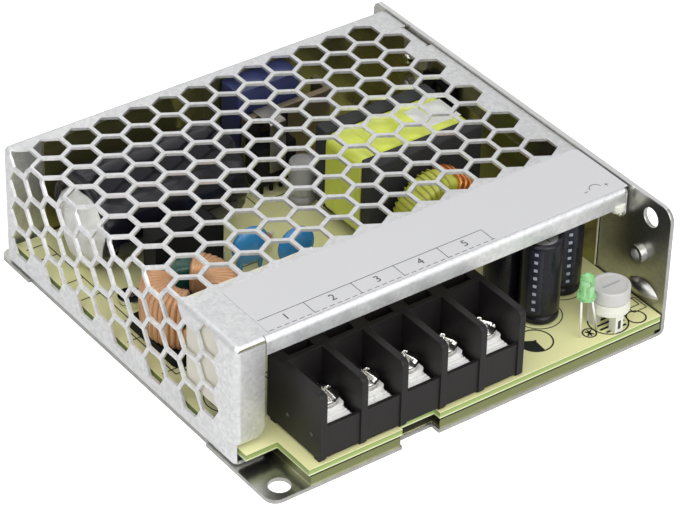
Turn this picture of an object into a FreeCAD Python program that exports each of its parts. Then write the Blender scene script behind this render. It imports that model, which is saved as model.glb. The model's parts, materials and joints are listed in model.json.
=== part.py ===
import FreeCAD, Part
import math
import os

# Mesh case switching power supply: a folded sheet chassis with one tall side, a
# perforated cover wrapped over the top and the other side, a circuit board with its
# components, and a five way screw terminal block on the open front.
# Millimetres. X runs along the terminals, the terminals face -Y, Z is up. The origin
# is under the middle of the base.

Vector = FreeCAD.Vector

# Case
case_length = 99.0
case_width = 97.0
case_height = 30.0
sheet = 0.9
bend = 1.4
fit = 0.1
case_screw_head = 4.9
case_screw_shank = 2.5
case_screw_length = 4.4
foot_screw_inset = 10.0
film = 0.25
film_side_gap = 0.05

# Chassis
base_corner = 2.5
base_hole = 4.6
base_hole_from_left = 4.3
base_hole_from_front = 3.7
notch_from_left = 30.6
notch_width = 9.0
notch_depth = 2.4
base_relief = 0.6
relief_from_front = 22.2
relief_from_back = 11.7
wall_corner = 3.0
wall_hole = 4.4
wall_hole_from_front = 5.9
wall_hole_height = 25.6
collar_bore = 2.5
collar_wall = 0.8
collar_rise = 1.6
side_collar_height = 16.1
side_collar_from_front = 7.8
side_collar_from_back = 14.5
base_collar_inset = 20.0
base_collar_span = 55.0
base_collar_from_front = 27.0
clamp_length = 10.0
clamp_depth = 1.9
clamp_from_front = 6.2
clamp_gap = 2.7

# Cover
cover_setback = 12.3
ear_depth = 3.1
cover_drop = 0.75
lip_height = 4.1
lip_from_left = 7.1
lip_from_right = 1.3
cheek_width = 6.8
cheek_bottom = 6.4
cheek_slit = 0.25
cheek_corner = 1.8
foot_width = 7.0
tab_length = 8.2
tab_drop = 8.0
tab_from_back = 9.0
screw_drop = 4.9

# Honeycomb
cell_pitch = 7.16
cell_flat = 6.25
cell_from_left = 7.81
cell_from_back = 6.16
top_rows = 10
side_rows = 12
side_levels = 3
side_cell_foot = 7.69
cell_margin_right = 3.4

# Board
board_gap = 2.6
board_thickness = 1.6
board_side_gap = 0.3
board_back_gap = 0.8
board_notch_width = 8.2
board_notch_depth = 10.4
standoff = 5.0
board_screw_bore = 3.2
board_screw_head = 5.6
board_screw_head_height = 1.7
board_screw_left = 9.2
board_screw_left_y = 14.5
board_screw_right = 4.4
board_screw_front_y = 29.0
board_screw_back_y = 5.0

# Insulation
film_front_gap = 0.2
film_left = 9.1
film_side_height = 20.4
film_back_height = 27.0
film_side_start = 21.0
liner = 0.3
liner_top_width = 31.0
liner_top_depth = 20.4
liner_side_depth = 18.0
liner_side_foot = 10.5
label = 0.12
label_from_left = 8.2
label_depth = 16.4
label_from_front = 0.4
label_corner = 1.2

# Terminal block
way_pitch = 9.5
ways = 5
barrier = 1.5
block_from_left = 11.3
block_from_front = 0.4
block_depth = 17.6
block_height = 15.8
block_lift = 0.5
ledge_height = 7.9
ledge_wall = 1.2
ledge_recess = 0.35
way_floor = 6.3
back_wall = 4.6
barrier_corner = 1.3
plate_width = 6.2
plate_thickness = 0.8
plate_lift = 0.2
plate_length = 11.4
plate_ridge = 0.25
screw_from_front = 7.3
washer_side = 6.4
washer_thickness = 0.9
washer_gap = 0.1
head_diameter = 6.4
head_height = 2.3
head_gap = 0.15
thread_diameter = 3.3
thread_gap = 0.3
thread_reach = 6.4
slot_width = 0.9
slot_depth = 1.1

# Standing and lying cans
bulk_diameter = 21.0
bulk_length = 35.0
bulk_across = 0.27
bulk_along = 0.849
bulk_lift = 0.4
bulk_lead_reach = 1.8
bulk_lead_step = 7.5
glue_radius = 6.8
glue_height = 8.0
glue_offset = 2.6
output_can_diameter = 8.4
output_can_height = 19.3
aux_can_diameter = 6.0
aux_can_height = 10.0
aux_can_across = 0.62
aux_can_along = 0.777
can_edge = 0.6
can_groove = 0.35
lead = 0.7

# Input side
choke_diameter = 17.6
choke_bore = 8.6
choke_height = 9.6
choke_across = 0.141
choke_along = 0.511
choke_strap = 0.8
choke_base_side = 18.6
choke_base_height = 2.0
film_can_width = 16.0
film_can_depth = 6.6
film_can_height = 22.0
film_can_across = 0.626
film_can_from_back = 0.7
disc_diameter = 8.8
disc_thickness = 3.2
disc_height = 6.9
disc_one_across = 0.3645
disc_one_along = 0.613
disc_two_across = 0.446
disc_two_along = 0.558
disc_lead_step = 5.0
fuse_diameter = 8.2
fuse_height = 7.6
fuse_from_left = 8.6
fuse_from_front = 27.0
thermistor_diameter = 9.0
thermistor_thickness = 4.0
thermistor_from_left = 23.6
thermistor_from_front = 26.6
bridge_length = 16.5
bridge_depth = 4.6
bridge_height = 13.0
bridge_lift = 2.0
bridge_bevel = 2.5
bridge_across = 0.2295
bridge_along = 0.665

# Power stage
sink_thickness = 1.6
sink_length = 23.0
sink_height = 18.0
sink_flange = 5.0
sink_across = 0.652
sink_along = 0.8707
switch_inset = 5.0
package_width = 10.0
package_depth = 4.4
package_height = 9.2
tab_height = 5.4
tab_thickness = 1.3
clip_width = 4.0
clip_thickness = 0.5
clip_hook = 3.0
package_lift = 3.0
package_lead_step = 2.5
package_hole = 3.6
rectifier_along = 0.77
winding_length = 29.0
winding_depth = 12.2
winding_height = 19.0
transformer_across = 0.7637
transformer_along = 0.622
winding_round = 2.5
core_length = 28.5
core_thickness = 3.8
core_height = 18.6
core_rise = 0.4
core_leg = 8.0
bobbin_foot = 2.4
opto_length = 6.6
opto_width = 4.6
opto_height = 3.4
opto_across = 0.547
opto_along = 0.48
chip_length = 9.4
chip_across = 0.442
chip_along = 0.414

# Output side
coil_diameter = 18.0
coil_bore = 9.4
coil_depth = 7.0
coil_wire = 0.8
coil_across = 0.7416
coil_along = 0.4557
can_one_from_right = 20.7
can_one_from_front = 14.3
can_two_shift = -2.2
can_two_gap = 0.4
can_three_from_right = 10.8
can_three_from_front = 19.5
led_diameter = 3.1
led_flange = 3.9
led_height = 5.8
led_lift = 9.5
led_from_right = 17.7
led_from_front = 3.5
led_lead = 0.5
led_lead_step = 2.54
led_left_splay = -0.4
led_right_splay = 2.2
knob_diameter = 8.0
knob_height = 4.2
knob_lift = 5.3
knob_slot_width = 0.7
knob_slot_depth = 0.4
knob_slot_length = 4.2
trimmer_from_right = 10.6
trimmer_from_front = 4.3
trimmer_flange = 8.3
trimmer_flange_height = 1.1
trimmer_leg = 2.0
trimmer_spindle = 2.6

# Planes that the pieces share
left = -case_width / 2
right = case_width / 2
front = -case_length / 2
back = case_length / 2
left_in = left + sheet
right_in = right - sheet
cover_front = front + cover_setback
cover_back = back - ear_depth
cover_top = case_height - cover_drop
cover_under = cover_top - sheet
cover_right = right_in - fit
board_under = sheet + board_gap
board_top = board_under + board_thickness
block_left = left + block_from_left
block_front = front + block_from_front
block_back = block_front + block_depth
block_right = block_left + ways * way_pitch + barrier
block_foot = board_top + block_lift
block_top = board_top + block_height
plate_top = board_top + way_floor + plate_lift + plate_thickness
washer_under = plate_top + washer_gap
head_under = washer_under + washer_thickness + head_gap
screw_y = block_front + screw_from_front


def box(x0, y0, z0, x1, y1, z1):
    """Block between two opposite corners."""
    return Part.makeBox(x1 - x0, y1 - y0, z1 - z0, Vector(x0, y0, z0))


def across(share):
    """X of a share of the way from the long side to the tall side, inside."""
    return left_in + share * (right_in - left_in)


def along(share):
    """Y of a share of the way from the front to the cover's back."""
    return front + share * (cover_back - front)


def post(x, y, z0, z1, diameter):
    """Upright cylinder."""
    return Part.makeCylinder(diameter / 2, z1 - z0, Vector(x, y, z0))


def rod(start, end, diameter):
    """Cylinder from one point to another."""
    a = Vector(*start)
    b = Vector(*end)
    return Part.makeCylinder(diameter / 2, (b - a).Length, a, b - a)


def face_of(points):
    """Flat face with the given corners."""
    corners = [Vector(*p) for p in points]
    return Part.Face(Part.makePolygon(corners + [corners[0]]))


def rounded_face(corners, make_point):
    """Face whose corners (u, v, radius) are rounded by tangent arcs."""
    count = len(corners)
    edges = []
    arcs = []
    for k in range(count):
        u, v, radius = corners[k]
        here = Vector(u, v, 0)
        before = Vector(corners[k - 1][0], corners[k - 1][1], 0)
        after = Vector(corners[(k + 1) % count][0], corners[(k + 1) % count][1], 0)
        into = (before - here).normalize()
        out = (after - here).normalize()
        if radius <= 0:
            arcs.append((here, None, here))
            continue
        half = into.getAngle(out) / 2
        reach = radius / math.tan(half)
        middle = (into + out).normalize()
        centre = here + middle * (radius / math.sin(half))
        arcs.append((here + into * reach, centre - middle * radius, here + out * reach))
    for k in range(count):
        start, through, end = arcs[k]
        if through is not None:
            a, b, c = (make_point(p.x, p.y) for p in (start, through, end))
            edges.append(Part.Arc(a, b, c).toShape())
        following = arcs[(k + 1) % count][0]
        a = make_point(end.x, end.y)
        b = make_point(following.x, following.y)
        if a.distanceToPoint(b) > 1e-6:
            edges.append(Part.LineSegment(a, b).toShape())
    return Part.Face(Part.Wire(edges))


def along_x(corners, x0, x1):
    """Profile in Y and Z carried along X."""
    face = rounded_face(corners, lambda u, v: Vector(x0, u, v))
    return face.extrude(Vector(x1 - x0, 0, 0))


def along_y(corners, y0, y1):
    """Profile in X and Z carried along Y."""
    face = rounded_face(corners, lambda u, v: Vector(u, y0, v))
    return face.extrude(Vector(0, y1 - y0, 0))


def along_z(corners, z0, z1):
    """Profile in X and Y carried upwards."""
    face = rounded_face(corners, lambda u, v: Vector(u, v, z0))
    return face.extrude(Vector(0, 0, z1 - z0))


def turned(profile, x, y):
    """Profile of (radius, height) corners turned about an upright axis."""
    face = face_of([(x + r, y, z) for r, z in profile])
    return face.revolve(Vector(x, y, 0), Vector(0, 0, 1), 360)


def facing_front(shape, x, y, z):
    """Upright shape about the origin tipped towards the front and moved into place."""
    shape.rotate(Vector(0, 0, 0), Vector(1, 0, 0), 90)
    shape.translate(Vector(x, y, z))
    return shape


def save(name, shape):
    """Writes one piece."""
    shape.exportStep(os.path.join("parts", name + ".step"))


def fused(shapes):
    """One solid from several that meet."""
    whole = shapes[0].multiFuse(shapes[1:])
    return whole.removeSplitter()


def side_collars():
    """Centres of the threaded collars in the tall side."""
    return [front + side_collar_from_front, back - side_collar_from_back]


def base_collars():
    """Centres of the threaded collars in the base."""
    y = front + base_collar_from_front
    return [
        (left + base_collar_inset, y),
        (right - base_collar_inset, y),
        (left + base_collar_inset, y + base_collar_span),
        (right - base_collar_inset, y + base_collar_span),
    ]


def board_screws_at():
    """Centres of the screws that hold the board."""
    return [
        (left_in + board_screw_left, board_screw_left_y),
        (right_in - board_screw_right, front + board_screw_front_y),
        (right_in - board_screw_right, cover_back - board_screw_back_y),
    ]


def cover_screws_at():
    """Centres (y, z) of the screws through the tall side into the cover's tabs."""
    z = cover_top - screw_drop
    return [
        (cover_front + tab_length / 2, z),
        (cover_back - tab_from_back - tab_length / 2, z),
    ]


def foot_screws_at():
    """Centres of the screws through the base into the cover's foot."""
    x = left + foot_width / 2 + sheet / 2
    return [(x, cover_front + foot_screw_inset), (x, cover_back - foot_screw_inset)]


def cone_hole(x, y):
    """Countersunk screw room through the base."""
    low = case_screw_head / 2 + fit
    high = case_screw_shank / 2 + fit
    head = Part.makeCone(low, high, sheet + fit, Vector(x, y, 0))
    return head.fuse(post(x, y, 0, board_under, 2 * high))


# Chassis: base, tall side, board clamp and threaded collars
def chassis():
    """L section folded from one sheet, then pierced and drawn."""
    section = [
        (left, 0, 0),
        (right, 0, bend),
        (right, case_height, 0),
        (right_in, case_height, 0),
        (right_in, sheet, bend - sheet),
        (left, sheet, 0),
    ]
    body = along_y(section, front, back)
    height = case_height
    # Rounded corners of the side and of the base
    side = along_x(
        [
            (front, 0, 0),
            (back, 0, 0),
            (back, height, base_corner),
            (front, height, wall_corner),
        ],
        right_in - bend,
        right,
    )
    floor = along_z(
        [
            (left, front, base_corner),
            (right, front, 0),
            (right, back, 0),
            (left, back, base_corner),
        ],
        0,
        bend,
    )
    body = body.common(side.fuse(floor))
    holes = [
        post(left + base_hole_from_left, front + base_hole_from_front, -1, 2, base_hole),
        box(
            left + notch_from_left,
            front - 1,
            -1,
            left + notch_from_left + notch_width,
            front + notch_depth,
            2,
        ),
        box(
            left - 1,
            front + relief_from_front,
            -1,
            left + base_relief,
            back - relief_from_back,
            2,
        ),
        rod(
            (right_in - 1, front + wall_hole_from_front, wall_hole_height),
            (right + 1, front + wall_hole_from_front, wall_hole_height),
            wall_hole,
        ),
    ]
    drawn = []
    for y in side_collars():
        drawn.append(
            rod(
                (right_in - collar_rise, y, side_collar_height),
                (right_in + sheet / 2, y, side_collar_height),
                collar_bore + 2 * collar_wall,
            )
        )
        holes.append(
            rod(
                (right_in - collar_rise - 1, y, side_collar_height),
                (right + 1, y, side_collar_height),
                collar_bore,
            )
        )
    for x, y in base_collars():
        drawn.append(post(x, y, sheet / 2, sheet + collar_rise, collar_bore + 2 * collar_wall))
        holes.append(post(x, y, -1, sheet + collar_rise + 1, collar_bore))
    for x, y in board_screws_at():
        drawn.append(post(x, y, sheet / 2, board_under, standoff))
        holes.append(post(x, y, -1, board_under + 1, collar_bore))
    for x, y in foot_screws_at():
        holes.append(cone_hole(x, y))
    for y, z in cover_screws_at():
        small = case_screw_shank / 2 + fit
        large = case_screw_head / 2 + fit
        start = Vector(right_in - fit, y, z)
        holes.append(Part.makeCone(small, large, sheet + fit, start, Vector(1, 0, 0)))
    drawn.append(board_clamp())
    body = fused([body] + drawn)
    return body.cut(Part.makeCompound(holes))


def board_clamp():
    """Half moon pressed out of the side just above the board's edge."""
    foot = board_top + clamp_gap
    y = front + clamp_from_front
    reach = clamp_length / 2
    rise = (reach * reach - clamp_depth * clamp_depth) / (2 * clamp_depth)

    def lens(depth, half):
        x = right_in + sheet / 2
        a = Vector(x, y - half, foot)
        b = Vector(x, y + half, foot)
        arc = Part.Arc(a, Vector(x - depth - sheet / 2, y, foot), b).toShape()
        face = Part.Face(Part.Wire([arc, Part.LineSegment(b, a).toShape()]))
        return face.revolve(Vector(x, y, foot), Vector(0, 1, 0), 90)

    outer = lens(clamp_depth, reach)
    inner = lens(clamp_depth - sheet * 0.7, reach - 1.1)
    inner.translate(Vector(0, 0, -0.01))
    shell = outer.cut(inner)
    return shell.common(box(right_in - 4, y - reach, foot, right_in + sheet / 2, y + reach, foot + rise))


# Cover: top, long side, foot, front lip, front cheek, back wall and screw tabs
def cover():
    """Sheet folded round the case, then pierced by the honeycomb."""
    section = [
        (cover_right, cover_top, 0),
        (left, cover_top, bend),
        (left, sheet, bend),
        (left + foot_width, sheet, 0),
        (left + foot_width, 2 * sheet, 0),
        (left_in, 2 * sheet, bend - sheet),
        (left_in, cover_under, bend - sheet),
        (cover_right, cover_under, 0),
    ]
    body = along_y(section, cover_front, cover_back)
    lip_left = left + lip_from_left
    lip_right = cover_right - lip_from_right
    cheek_top = cover_under - cheek_slit
    behind = cover_back - bend
    away = [
        box(lip_left, cover_front - 1, cover_under - 1, lip_right, cover_front + bend, cover_top + 1),
        box(left - 1, cover_front - 1, cheek_bottom, left_in + 1, cover_front + bend, cheek_top),
        box(left_in + fit, behind, cover_under - 1, cover_right + 1, cover_back + 1, cover_top + 1),
        box(left, cover_front - 1, cheek_top, left_in + bend, cover_front + bend, cover_under),
    ]
    body = body.cut(Part.makeCompound(away))
    lip = along_x(
        [
            (cover_front + bend, cover_top, 0),
            (cover_front, cover_top, bend),
            (cover_front, cover_top - lip_height, 0),
            (cover_front + sheet, cover_top - lip_height, 0),
            (cover_front + sheet, cover_under, bend - sheet),
            (cover_front + bend, cover_under, 0),
        ],
        lip_left,
        lip_right,
    )
    cheek = along_z(
        [
            (left, cover_front + bend, 0),
            (left, cover_front, bend),
            (left + cheek_width, cover_front, 0),
            (left + cheek_width, cover_front + sheet, 0),
            (left_in, cover_front + sheet, bend - sheet),
            (left_in, cover_front + bend, 0),
        ],
        cheek_bottom,
        cheek_top,
    )
    outline = along_y(
        [
            (left, cheek_bottom, 0),
            (left + cheek_width, cheek_bottom, cheek_corner),
            (left + cheek_width, cheek_top, 0),
            (left, cheek_top, 0),
        ],
        cover_front - 1,
        cover_front + bend + 1,
    )
    back_wall_piece = along_x(
        [
            (cover_back - bend, cover_top, 0),
            (cover_back, cover_top, bend),
            (cover_back, sheet + 2 * fit, 0),
            (cover_back - sheet, sheet + 2 * fit, 0),
            (cover_back - sheet, cover_under, bend - sheet),
            (cover_back - bend, cover_under, 0),
        ],
        left_in + fit,
        cover_right,
    )
    tabs = [screw_tab(y) for y, z in cover_screws_at()]
    body = fused([body, lip, cheek.common(outline), back_wall_piece] + tabs)
    holes = honeycomb()
    for y, z in cover_screws_at():
        holes.append(rod((right_in - 3, y, z), (right, y, z), case_screw_shank + 2 * fit))
    for x, y in foot_screws_at():
        holes.append(post(x, y, 0, 3 * sheet, case_screw_shank + 2 * fit))
    return body.cut(Part.makeCompound(holes))


def screw_tab(y):
    """Rounded ear folded down inside the tall side."""
    low = cover_top - tab_drop
    section = [
        (cover_right - bend, cover_top, 0),
        (cover_right, cover_top, bend),
        (cover_right, low, 0),
        (cover_right - sheet, low, 0),
        (cover_right - sheet, cover_under, bend - sheet),
        (cover_right - bend, cover_under, 0),
    ]
    ear = along_y(section, y - tab_length / 2, y + tab_length / 2)
    round_end = along_x(
        [
            (y - tab_length / 2, cover_top, 0),
            (y - tab_length / 2, low, tab_length / 2.4),
            (y + tab_length / 2, low, tab_length / 2.4),
            (y + tab_length / 2, cover_top, 0),
        ],
        cover_right - bend,
        cover_right,
    )
    return ear.common(round_end)


def hexagon(u, v, make_point):
    """Cell with points to the front and back: six corners about (u, v)."""
    reach = cell_flat / math.sqrt(3)
    ring = []
    for k in range(6):
        turn = math.radians(60 * k)
        ring.append(make_point(u + reach * math.sin(turn), v + reach * math.cos(turn)))
    return Part.Face(Part.makePolygon(ring + [ring[0]]))


def honeycomb():
    """Cells of the top, of the long side, and those that wrap round the bend."""
    first_x = left + cell_from_left
    first_y = cover_back - cell_from_back
    row_step = cell_pitch * math.sqrt(3) / 2
    columns = int((cover_right - cell_margin_right - first_x) / cell_pitch) + 1
    deep = cover_under - 0.5
    cells = []
    for row in range(top_rows):
        odd = row % 2
        y = first_y - row * row_step
        for column in range(columns + odd):
            x = first_x + (column - odd / 2) * cell_pitch
            face = hexagon(x, y, lambda u, v: Vector(u, v, deep))
            cells.append(face.extrude(Vector(0, 0, sheet + 1)))
        if not odd:
            cells.append(wrapped_cell(first_x - cell_pitch, y))
    for row in range(side_rows):
        odd = row % 2
        y = first_y - row * row_step
        for level in range(side_levels):
            z = side_cell_foot + (level + odd / 2) * cell_pitch
            face = hexagon(z, y, lambda u, v: Vector(left - 0.5, v, u))
            cells.append(face.extrude(Vector(sheet + 1, 0, 0)))
    return cells


def wrapped_cell(x, y):
    """Cell folded with the sheet: one part on the top, one on the side, one on the bend."""
    half_arc = bend * math.pi / 4
    middle = left + bend
    offset = x - middle + half_arc
    flat_top = hexagon(x, y, lambda u, v: Vector(u, v, cover_under - 0.5))
    top = flat_top.extrude(Vector(0, 0, sheet + 1))
    room = box(middle, y - cell_pitch, cover_under - 1, middle + cell_pitch, y + cell_pitch, cover_top + 1)
    top = top.common(room)
    z = cover_top - bend + half_arc + offset
    flat_side = hexagon(z, y, lambda u, v: Vector(left - 0.5, v, u))
    side = flat_side.extrude(Vector(sheet + 1, 0, 0))
    room = box(left - 1, y - cell_pitch, z - cell_pitch, left_in + 1, y + cell_pitch, cover_top - bend)
    side = side.common(room)
    reach = cell_flat / math.sqrt(3)
    slope = reach / cell_flat
    narrow = reach - slope * half_arc
    chord = bend * math.sqrt(0.5)
    corner = Vector(left + bend, y, cover_top - bend)
    across = Vector(1, 0, 1).normalize()
    outwards = Vector(-1, 0, 1).normalize()
    ring = []
    upper = [(-chord, narrow), (0, reach), (chord, narrow)]
    lower = [(chord, -narrow), (0, -reach), (-chord, -narrow)]
    for u, v in upper + lower:
        ring.append(corner + across * u + Vector(0, v, 0) - outwards * 0.2)
    fold = Part.Face(Part.makePolygon(ring + [ring[0]])).extrude(outwards * (bend + 1))
    return top.multiFuse([side, fold])


# Board and insulation
def board():
    """Circuit board with its corner and cable notches and its screw holes."""
    x0 = left_in + board_side_gap
    x1 = right_in - board_side_gap
    y1 = cover_back - sheet - board_back_gap
    notch_y = front + board_notch_depth
    notch_x = left + board_notch_width
    gap_x0 = left + notch_from_left
    gap_x1 = gap_x0 + notch_width
    gap_y = front + notch_depth - 0.6
    outline = [
        (x0, notch_y),
        (notch_x + 0.3, notch_y),
        (notch_x + 0.3, front),
        (gap_x0, front),
        (gap_x0, gap_y),
        (gap_x1, gap_y),
        (gap_x1, front),
        (x1, front),
        (x1, y1),
        (x0, y1),
    ]
    plate = face_of([(x, y, board_under) for x, y in outline])
    plate = plate.extrude(Vector(0, 0, board_thickness))
    holes = [post(x, y, board_under - 1, board_top + 1, board_screw_bore) for x, y in board_screws_at()]
    return plate.cut(Part.makeCompound(holes))


def board_screws():
    """Pan head screws through the board into the base."""
    group = []
    for x, y in board_screws_at():
        head = post(x, y, board_top, board_top + board_screw_head_height, board_screw_head)
        shank = post(x, y, sheet, board_top, collar_bore)
        slot = box(x - 2, y - 0.4, board_top + board_screw_head_height - 0.7, x + 2, y + 0.4, board_top + 5)
        group.append(head.fuse(shank).cut(slot))
    return Part.makeCompound(group)


def base_film():
    """Insulating tray: floor, short front and left skirts, tall back and right ones."""
    x0 = left + film_left
    x1 = right_in - film_side_gap
    y0 = front + film_front_gap
    y1 = cover_back - sheet - 0.1
    low = sheet
    skirt = board_under
    pieces = [
        box(x0, y0, low, x1, y1, low + film),
        box(x0, y0, low, x1, y0 + film, skirt),
        box(x0, y0, low, x0 + film, front + board_notch_depth + 3, skirt),
        box(x0, y1 - film, low, x1, y1, film_back_height),
        box(x1 - film, front + film_side_start, low, x1, y1, film_side_height),
    ]
    body = fused(pieces)
    room = 0.3
    holes = [
        box(
            left + notch_from_left - room,
            y0 - 1,
            0,
            left + notch_from_left + notch_width + room,
            front + notch_depth + room,
            board_under + 1,
        ),
        box(x1 - bend, y0 - 1, 0, right, y1 + 1, bend + 0.1),
    ]
    for x, y in base_collars():
        holes.append(post(x, y, 0, 3, collar_bore + 2 * collar_wall + room))
    for x, y in board_screws_at():
        holes.append(post(x, y, 0, board_under + 1, standoff + room))
    for y in side_collars():
        holes.append(
            rod(
                (right_in - 3, y, side_collar_height),
                (right, y, side_collar_height),
                collar_bore + 2 * collar_wall + room,
            )
        )
    return body.cut(Part.makeCompound(holes))


def cover_liner():
    """Folded card under the cover's front left corner, its fold clear of the bend."""
    x0 = left_in + fit
    z1 = cover_under
    y0 = cover_front + bend + fit
    section = [
        (x0, liner_side_foot, 0),
        (x0, z1, bend - sheet + 2 * fit),
        (x0 + liner_top_width, z1, 0),
        (x0 + liner_top_width, z1 - liner, 0),
        (x0 + liner, z1 - liner, 0),
        (x0 + liner, liner_side_foot, 0),
    ]
    card = along_y(section, y0, cover_front + liner_top_depth)
    step = cover_front + liner_side_depth
    low = z1 - 2 * bend
    return card.cut(box(x0 - 1, step, liner_side_foot - 1, x0 + bend, cover_front + liner_top_depth + 1, low))


def rating_label():
    """Bare sticker on the cover's front strip."""
    y0 = cover_front + bend + label_from_front - 1.0
    return along_z(
        [
            (left + label_from_left, y0, 0),
            (cover_right - 0.1, y0, 0),
            (cover_right - 0.1, y0 + label_depth, label_corner),
            (left + label_from_left, y0 + label_depth, label_corner),
        ],
        cover_top,
        cover_top + label,
    )


# Case screws
def countersunk(length, tip):
    """Screw about the origin: flat head at z = 0, pointing up."""
    head = case_screw_head / 2
    shank = case_screw_shank / 2
    return turned(
        [(0, 0), (head, 0), (shank, sheet), (shank, length - tip), (shank - tip, length), (0, length)], 0, 0
    )


def cover_screws():
    """Screws through the tall side."""
    group = []
    for y, z in cover_screws_at():
        screw = countersunk(case_screw_length, fit * 4)
        screw.rotate(Vector(0, 0, 0), Vector(0, 1, 0), -90)
        screw.translate(Vector(right, y, z))
        group.append(screw)
    return Part.makeCompound(group)


def foot_screws():
    """Screws through the base into the cover's foot."""
    group = []
    for x, y in foot_screws_at():
        screw = countersunk(board_under - fit * 4, fit * 3)
        screw.translate(Vector(x, y, 0))
        group.append(screw)
    return Part.makeCompound(group)


# Terminal block
def way_x(way):
    """Middle of one way."""
    return block_left + barrier / 2 + (way + 0.5) * way_pitch


def terminal_block():
    """Housing: side section carried across, then one room cut for each way."""
    section = [
        (block_front, block_foot, 0),
        (block_back, block_foot, 0.3),
        (block_back, block_top, 0.8),
        (block_front, block_top, barrier_corner),
    ]
    body = along_x(section, block_left, block_right)
    room = way_pitch - barrier
    floor = board_top + way_floor
    ledge = board_top + ledge_height
    cuts = []
    for way in range(ways):
        x = way_x(way)
        x0 = x - room / 2
        x1 = x + room / 2
        cuts.append(box(x0, block_front - 1, ledge, x1, block_back - back_wall, block_top + 1))
        cuts.append(box(x0, block_front + ledge_wall, floor, x1, block_back - back_wall, block_top))
        cuts.append(box(x0, block_front - 1, block_foot - 1, x1, block_front + ledge_recess, ledge + 1))
        well = thread_diameter + 2 * thread_gap
        cuts.append(post(x, screw_y, head_under - thread_reach - 1.0, floor + 1, well))
        cuts.append(
            box(x0 + 1, block_back - back_wall + 1.2, block_top - 5, x1 - 1, block_back - 1.2, block_top + 1)
        )
    body = body.cut(Part.makeCompound(cuts))
    feet = []
    for way in range(ways + 1):
        x = block_left + barrier / 2 + way * way_pitch
        for y in (block_front + 1.2, block_back - 2.0):
            feet.append(box(x - barrier / 2, y - 0.8, board_top, x + barrier / 2, y + 0.8, block_foot + 0.3))
    return fused([body] + feet)


def terminal_plate(way):
    """Nickel plate with pressed ridges, a threaded hole and a leg down to the board."""
    x = way_x(way)
    under = plate_top - plate_thickness
    y0 = block_front + ledge_wall + 0.3
    y1 = y0 + plate_length
    w = plate_width / 2
    profile = [(y0, under)]
    profile += [(y1, under), (y1, plate_top)]
    top_points = [(y0 + 3.0, plate_top)]
    for k in range(3):
        y = y0 + 3.0 - 0.9 * (k + 1)
        top_points += [(y + 0.5, plate_top - plate_ridge), (y, plate_top - plate_ridge * 0.2)]
    profile += top_points
    profile += [(y0, plate_top - plate_ridge)]
    face = face_of([(x - w, y, z) for y, z in profile])
    body = face.extrude(Vector(plate_width, 0, 0))
    body = body.cut(post(x, screw_y, under - 1, plate_top + 1, thread_diameter + 2 * thread_gap))
    under_lift = box(x - w + 0.6, y1 - 1.4, under - plate_lift, x + w - 0.6, y1, under)
    front_lift = box(x - w + 0.6, y0 + 0.2, under - plate_lift, x + w - 0.6, y0 + 1.0, under)
    return fused([body, under_lift, front_lift])


def terminal_washer(way):
    """Square pressed washer that stays on the screw."""
    x = way_x(way)
    h = washer_side / 2
    z0 = washer_under
    z1 = washer_under + washer_thickness
    plate = along_z(
        [
            (x - h, screw_y - h, 0.8),
            (x + h, screw_y - h, 0.8),
            (x + h, screw_y + h, 0.8),
            (x - h, screw_y + h, 0.8),
        ],
        z0,
        z1,
    )
    bore = post(x, screw_y, z0 - 1, z1 + 1, thread_diameter + 2 * thread_gap)
    arch = rod((x - h - 1, screw_y, z0 - 3.9), (x + h + 1, screw_y, z0 - 3.9), 8.2)
    return plate.cut(bore).cut(arch)


def terminal_screw(way):
    """Pan head screw with a combined slot and cross."""
    x = way_x(way)
    r = head_diameter / 2
    t = thread_diameter / 2
    z0 = head_under
    z1 = head_under + head_height
    tip = head_under - thread_reach
    solid = turned(
        [
            (0, tip),
            (t - 0.4, tip),
            (t, tip + 0.5),
            (t, z0),
            (r - 0.2, z0),
            (r, z0 + 0.3),
            (r, z1 - 1.0),
            (r - 0.4, z1 - 0.3),
            (r - 1.2, z1),
            (0, z1),
        ],
        x,
        screw_y,
    )
    slot = box(x - slot_width / 2, screw_y - r, z1 - slot_depth, x + slot_width / 2, screw_y + r, z1 + 1)
    half = slot_width / 2
    arm = r * 0.62
    cross = box(x - arm, screw_y - half, z1 - slot_depth * 1.3, x + arm, screw_y + half, z1 + 1)
    return solid.cut(slot.fuse(cross))


# Cans and their leads
def can(diameter, height):
    """Upright electrolytic can about the origin, crimped near its foot."""
    r = diameter / 2
    e = can_edge
    g = can_groove
    return turned(
        [
            (0, 0.3),
            (r - 1.2, 0.3),
            (r - 1.0, 0),
            (r - e * 0.5, 0),
            (r, e * 0.5),
            (r, 1.6),
            (r - g, 2.1),
            (r, 2.6),
            (r, height - e),
            (r - e, height),
            (r - e - 0.5, height - 0.25),
            (0, height - 0.25),
        ],
        0,
        0,
    )


def upright_can(x, y, diameter, height):
    """Can standing on the board."""
    body = can(diameter, height)
    body.translate(Vector(x, y, board_top))
    return body


def bulk_place():
    """Middle of the lying can: X, Y and Z."""
    z = board_top + bulk_lift + bulk_diameter / 2
    return across(bulk_across), along(bulk_along), z


def bulk_capacitor():
    """Large can lying along X, its leads turned down to the board."""
    x, y, z = bulk_place()
    x1 = x + bulk_length / 2
    body = can(bulk_diameter, bulk_length)
    body.rotate(Vector(0, 0, 0), Vector(0, 1, 0), -90)
    body.translate(Vector(x1, y, z))
    pieces = [body]
    corner = x1 + bulk_lead_reach
    for side in (-bulk_lead_step / 2, bulk_lead_step / 2):
        pieces.append(rod((x1 - 2, y + side, z), (corner, y + side, z), lead))
        pieces.append(rod((corner, y + side, z + lead), (corner, y + side, board_top), lead + fit))
    return fused(pieces)


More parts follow.
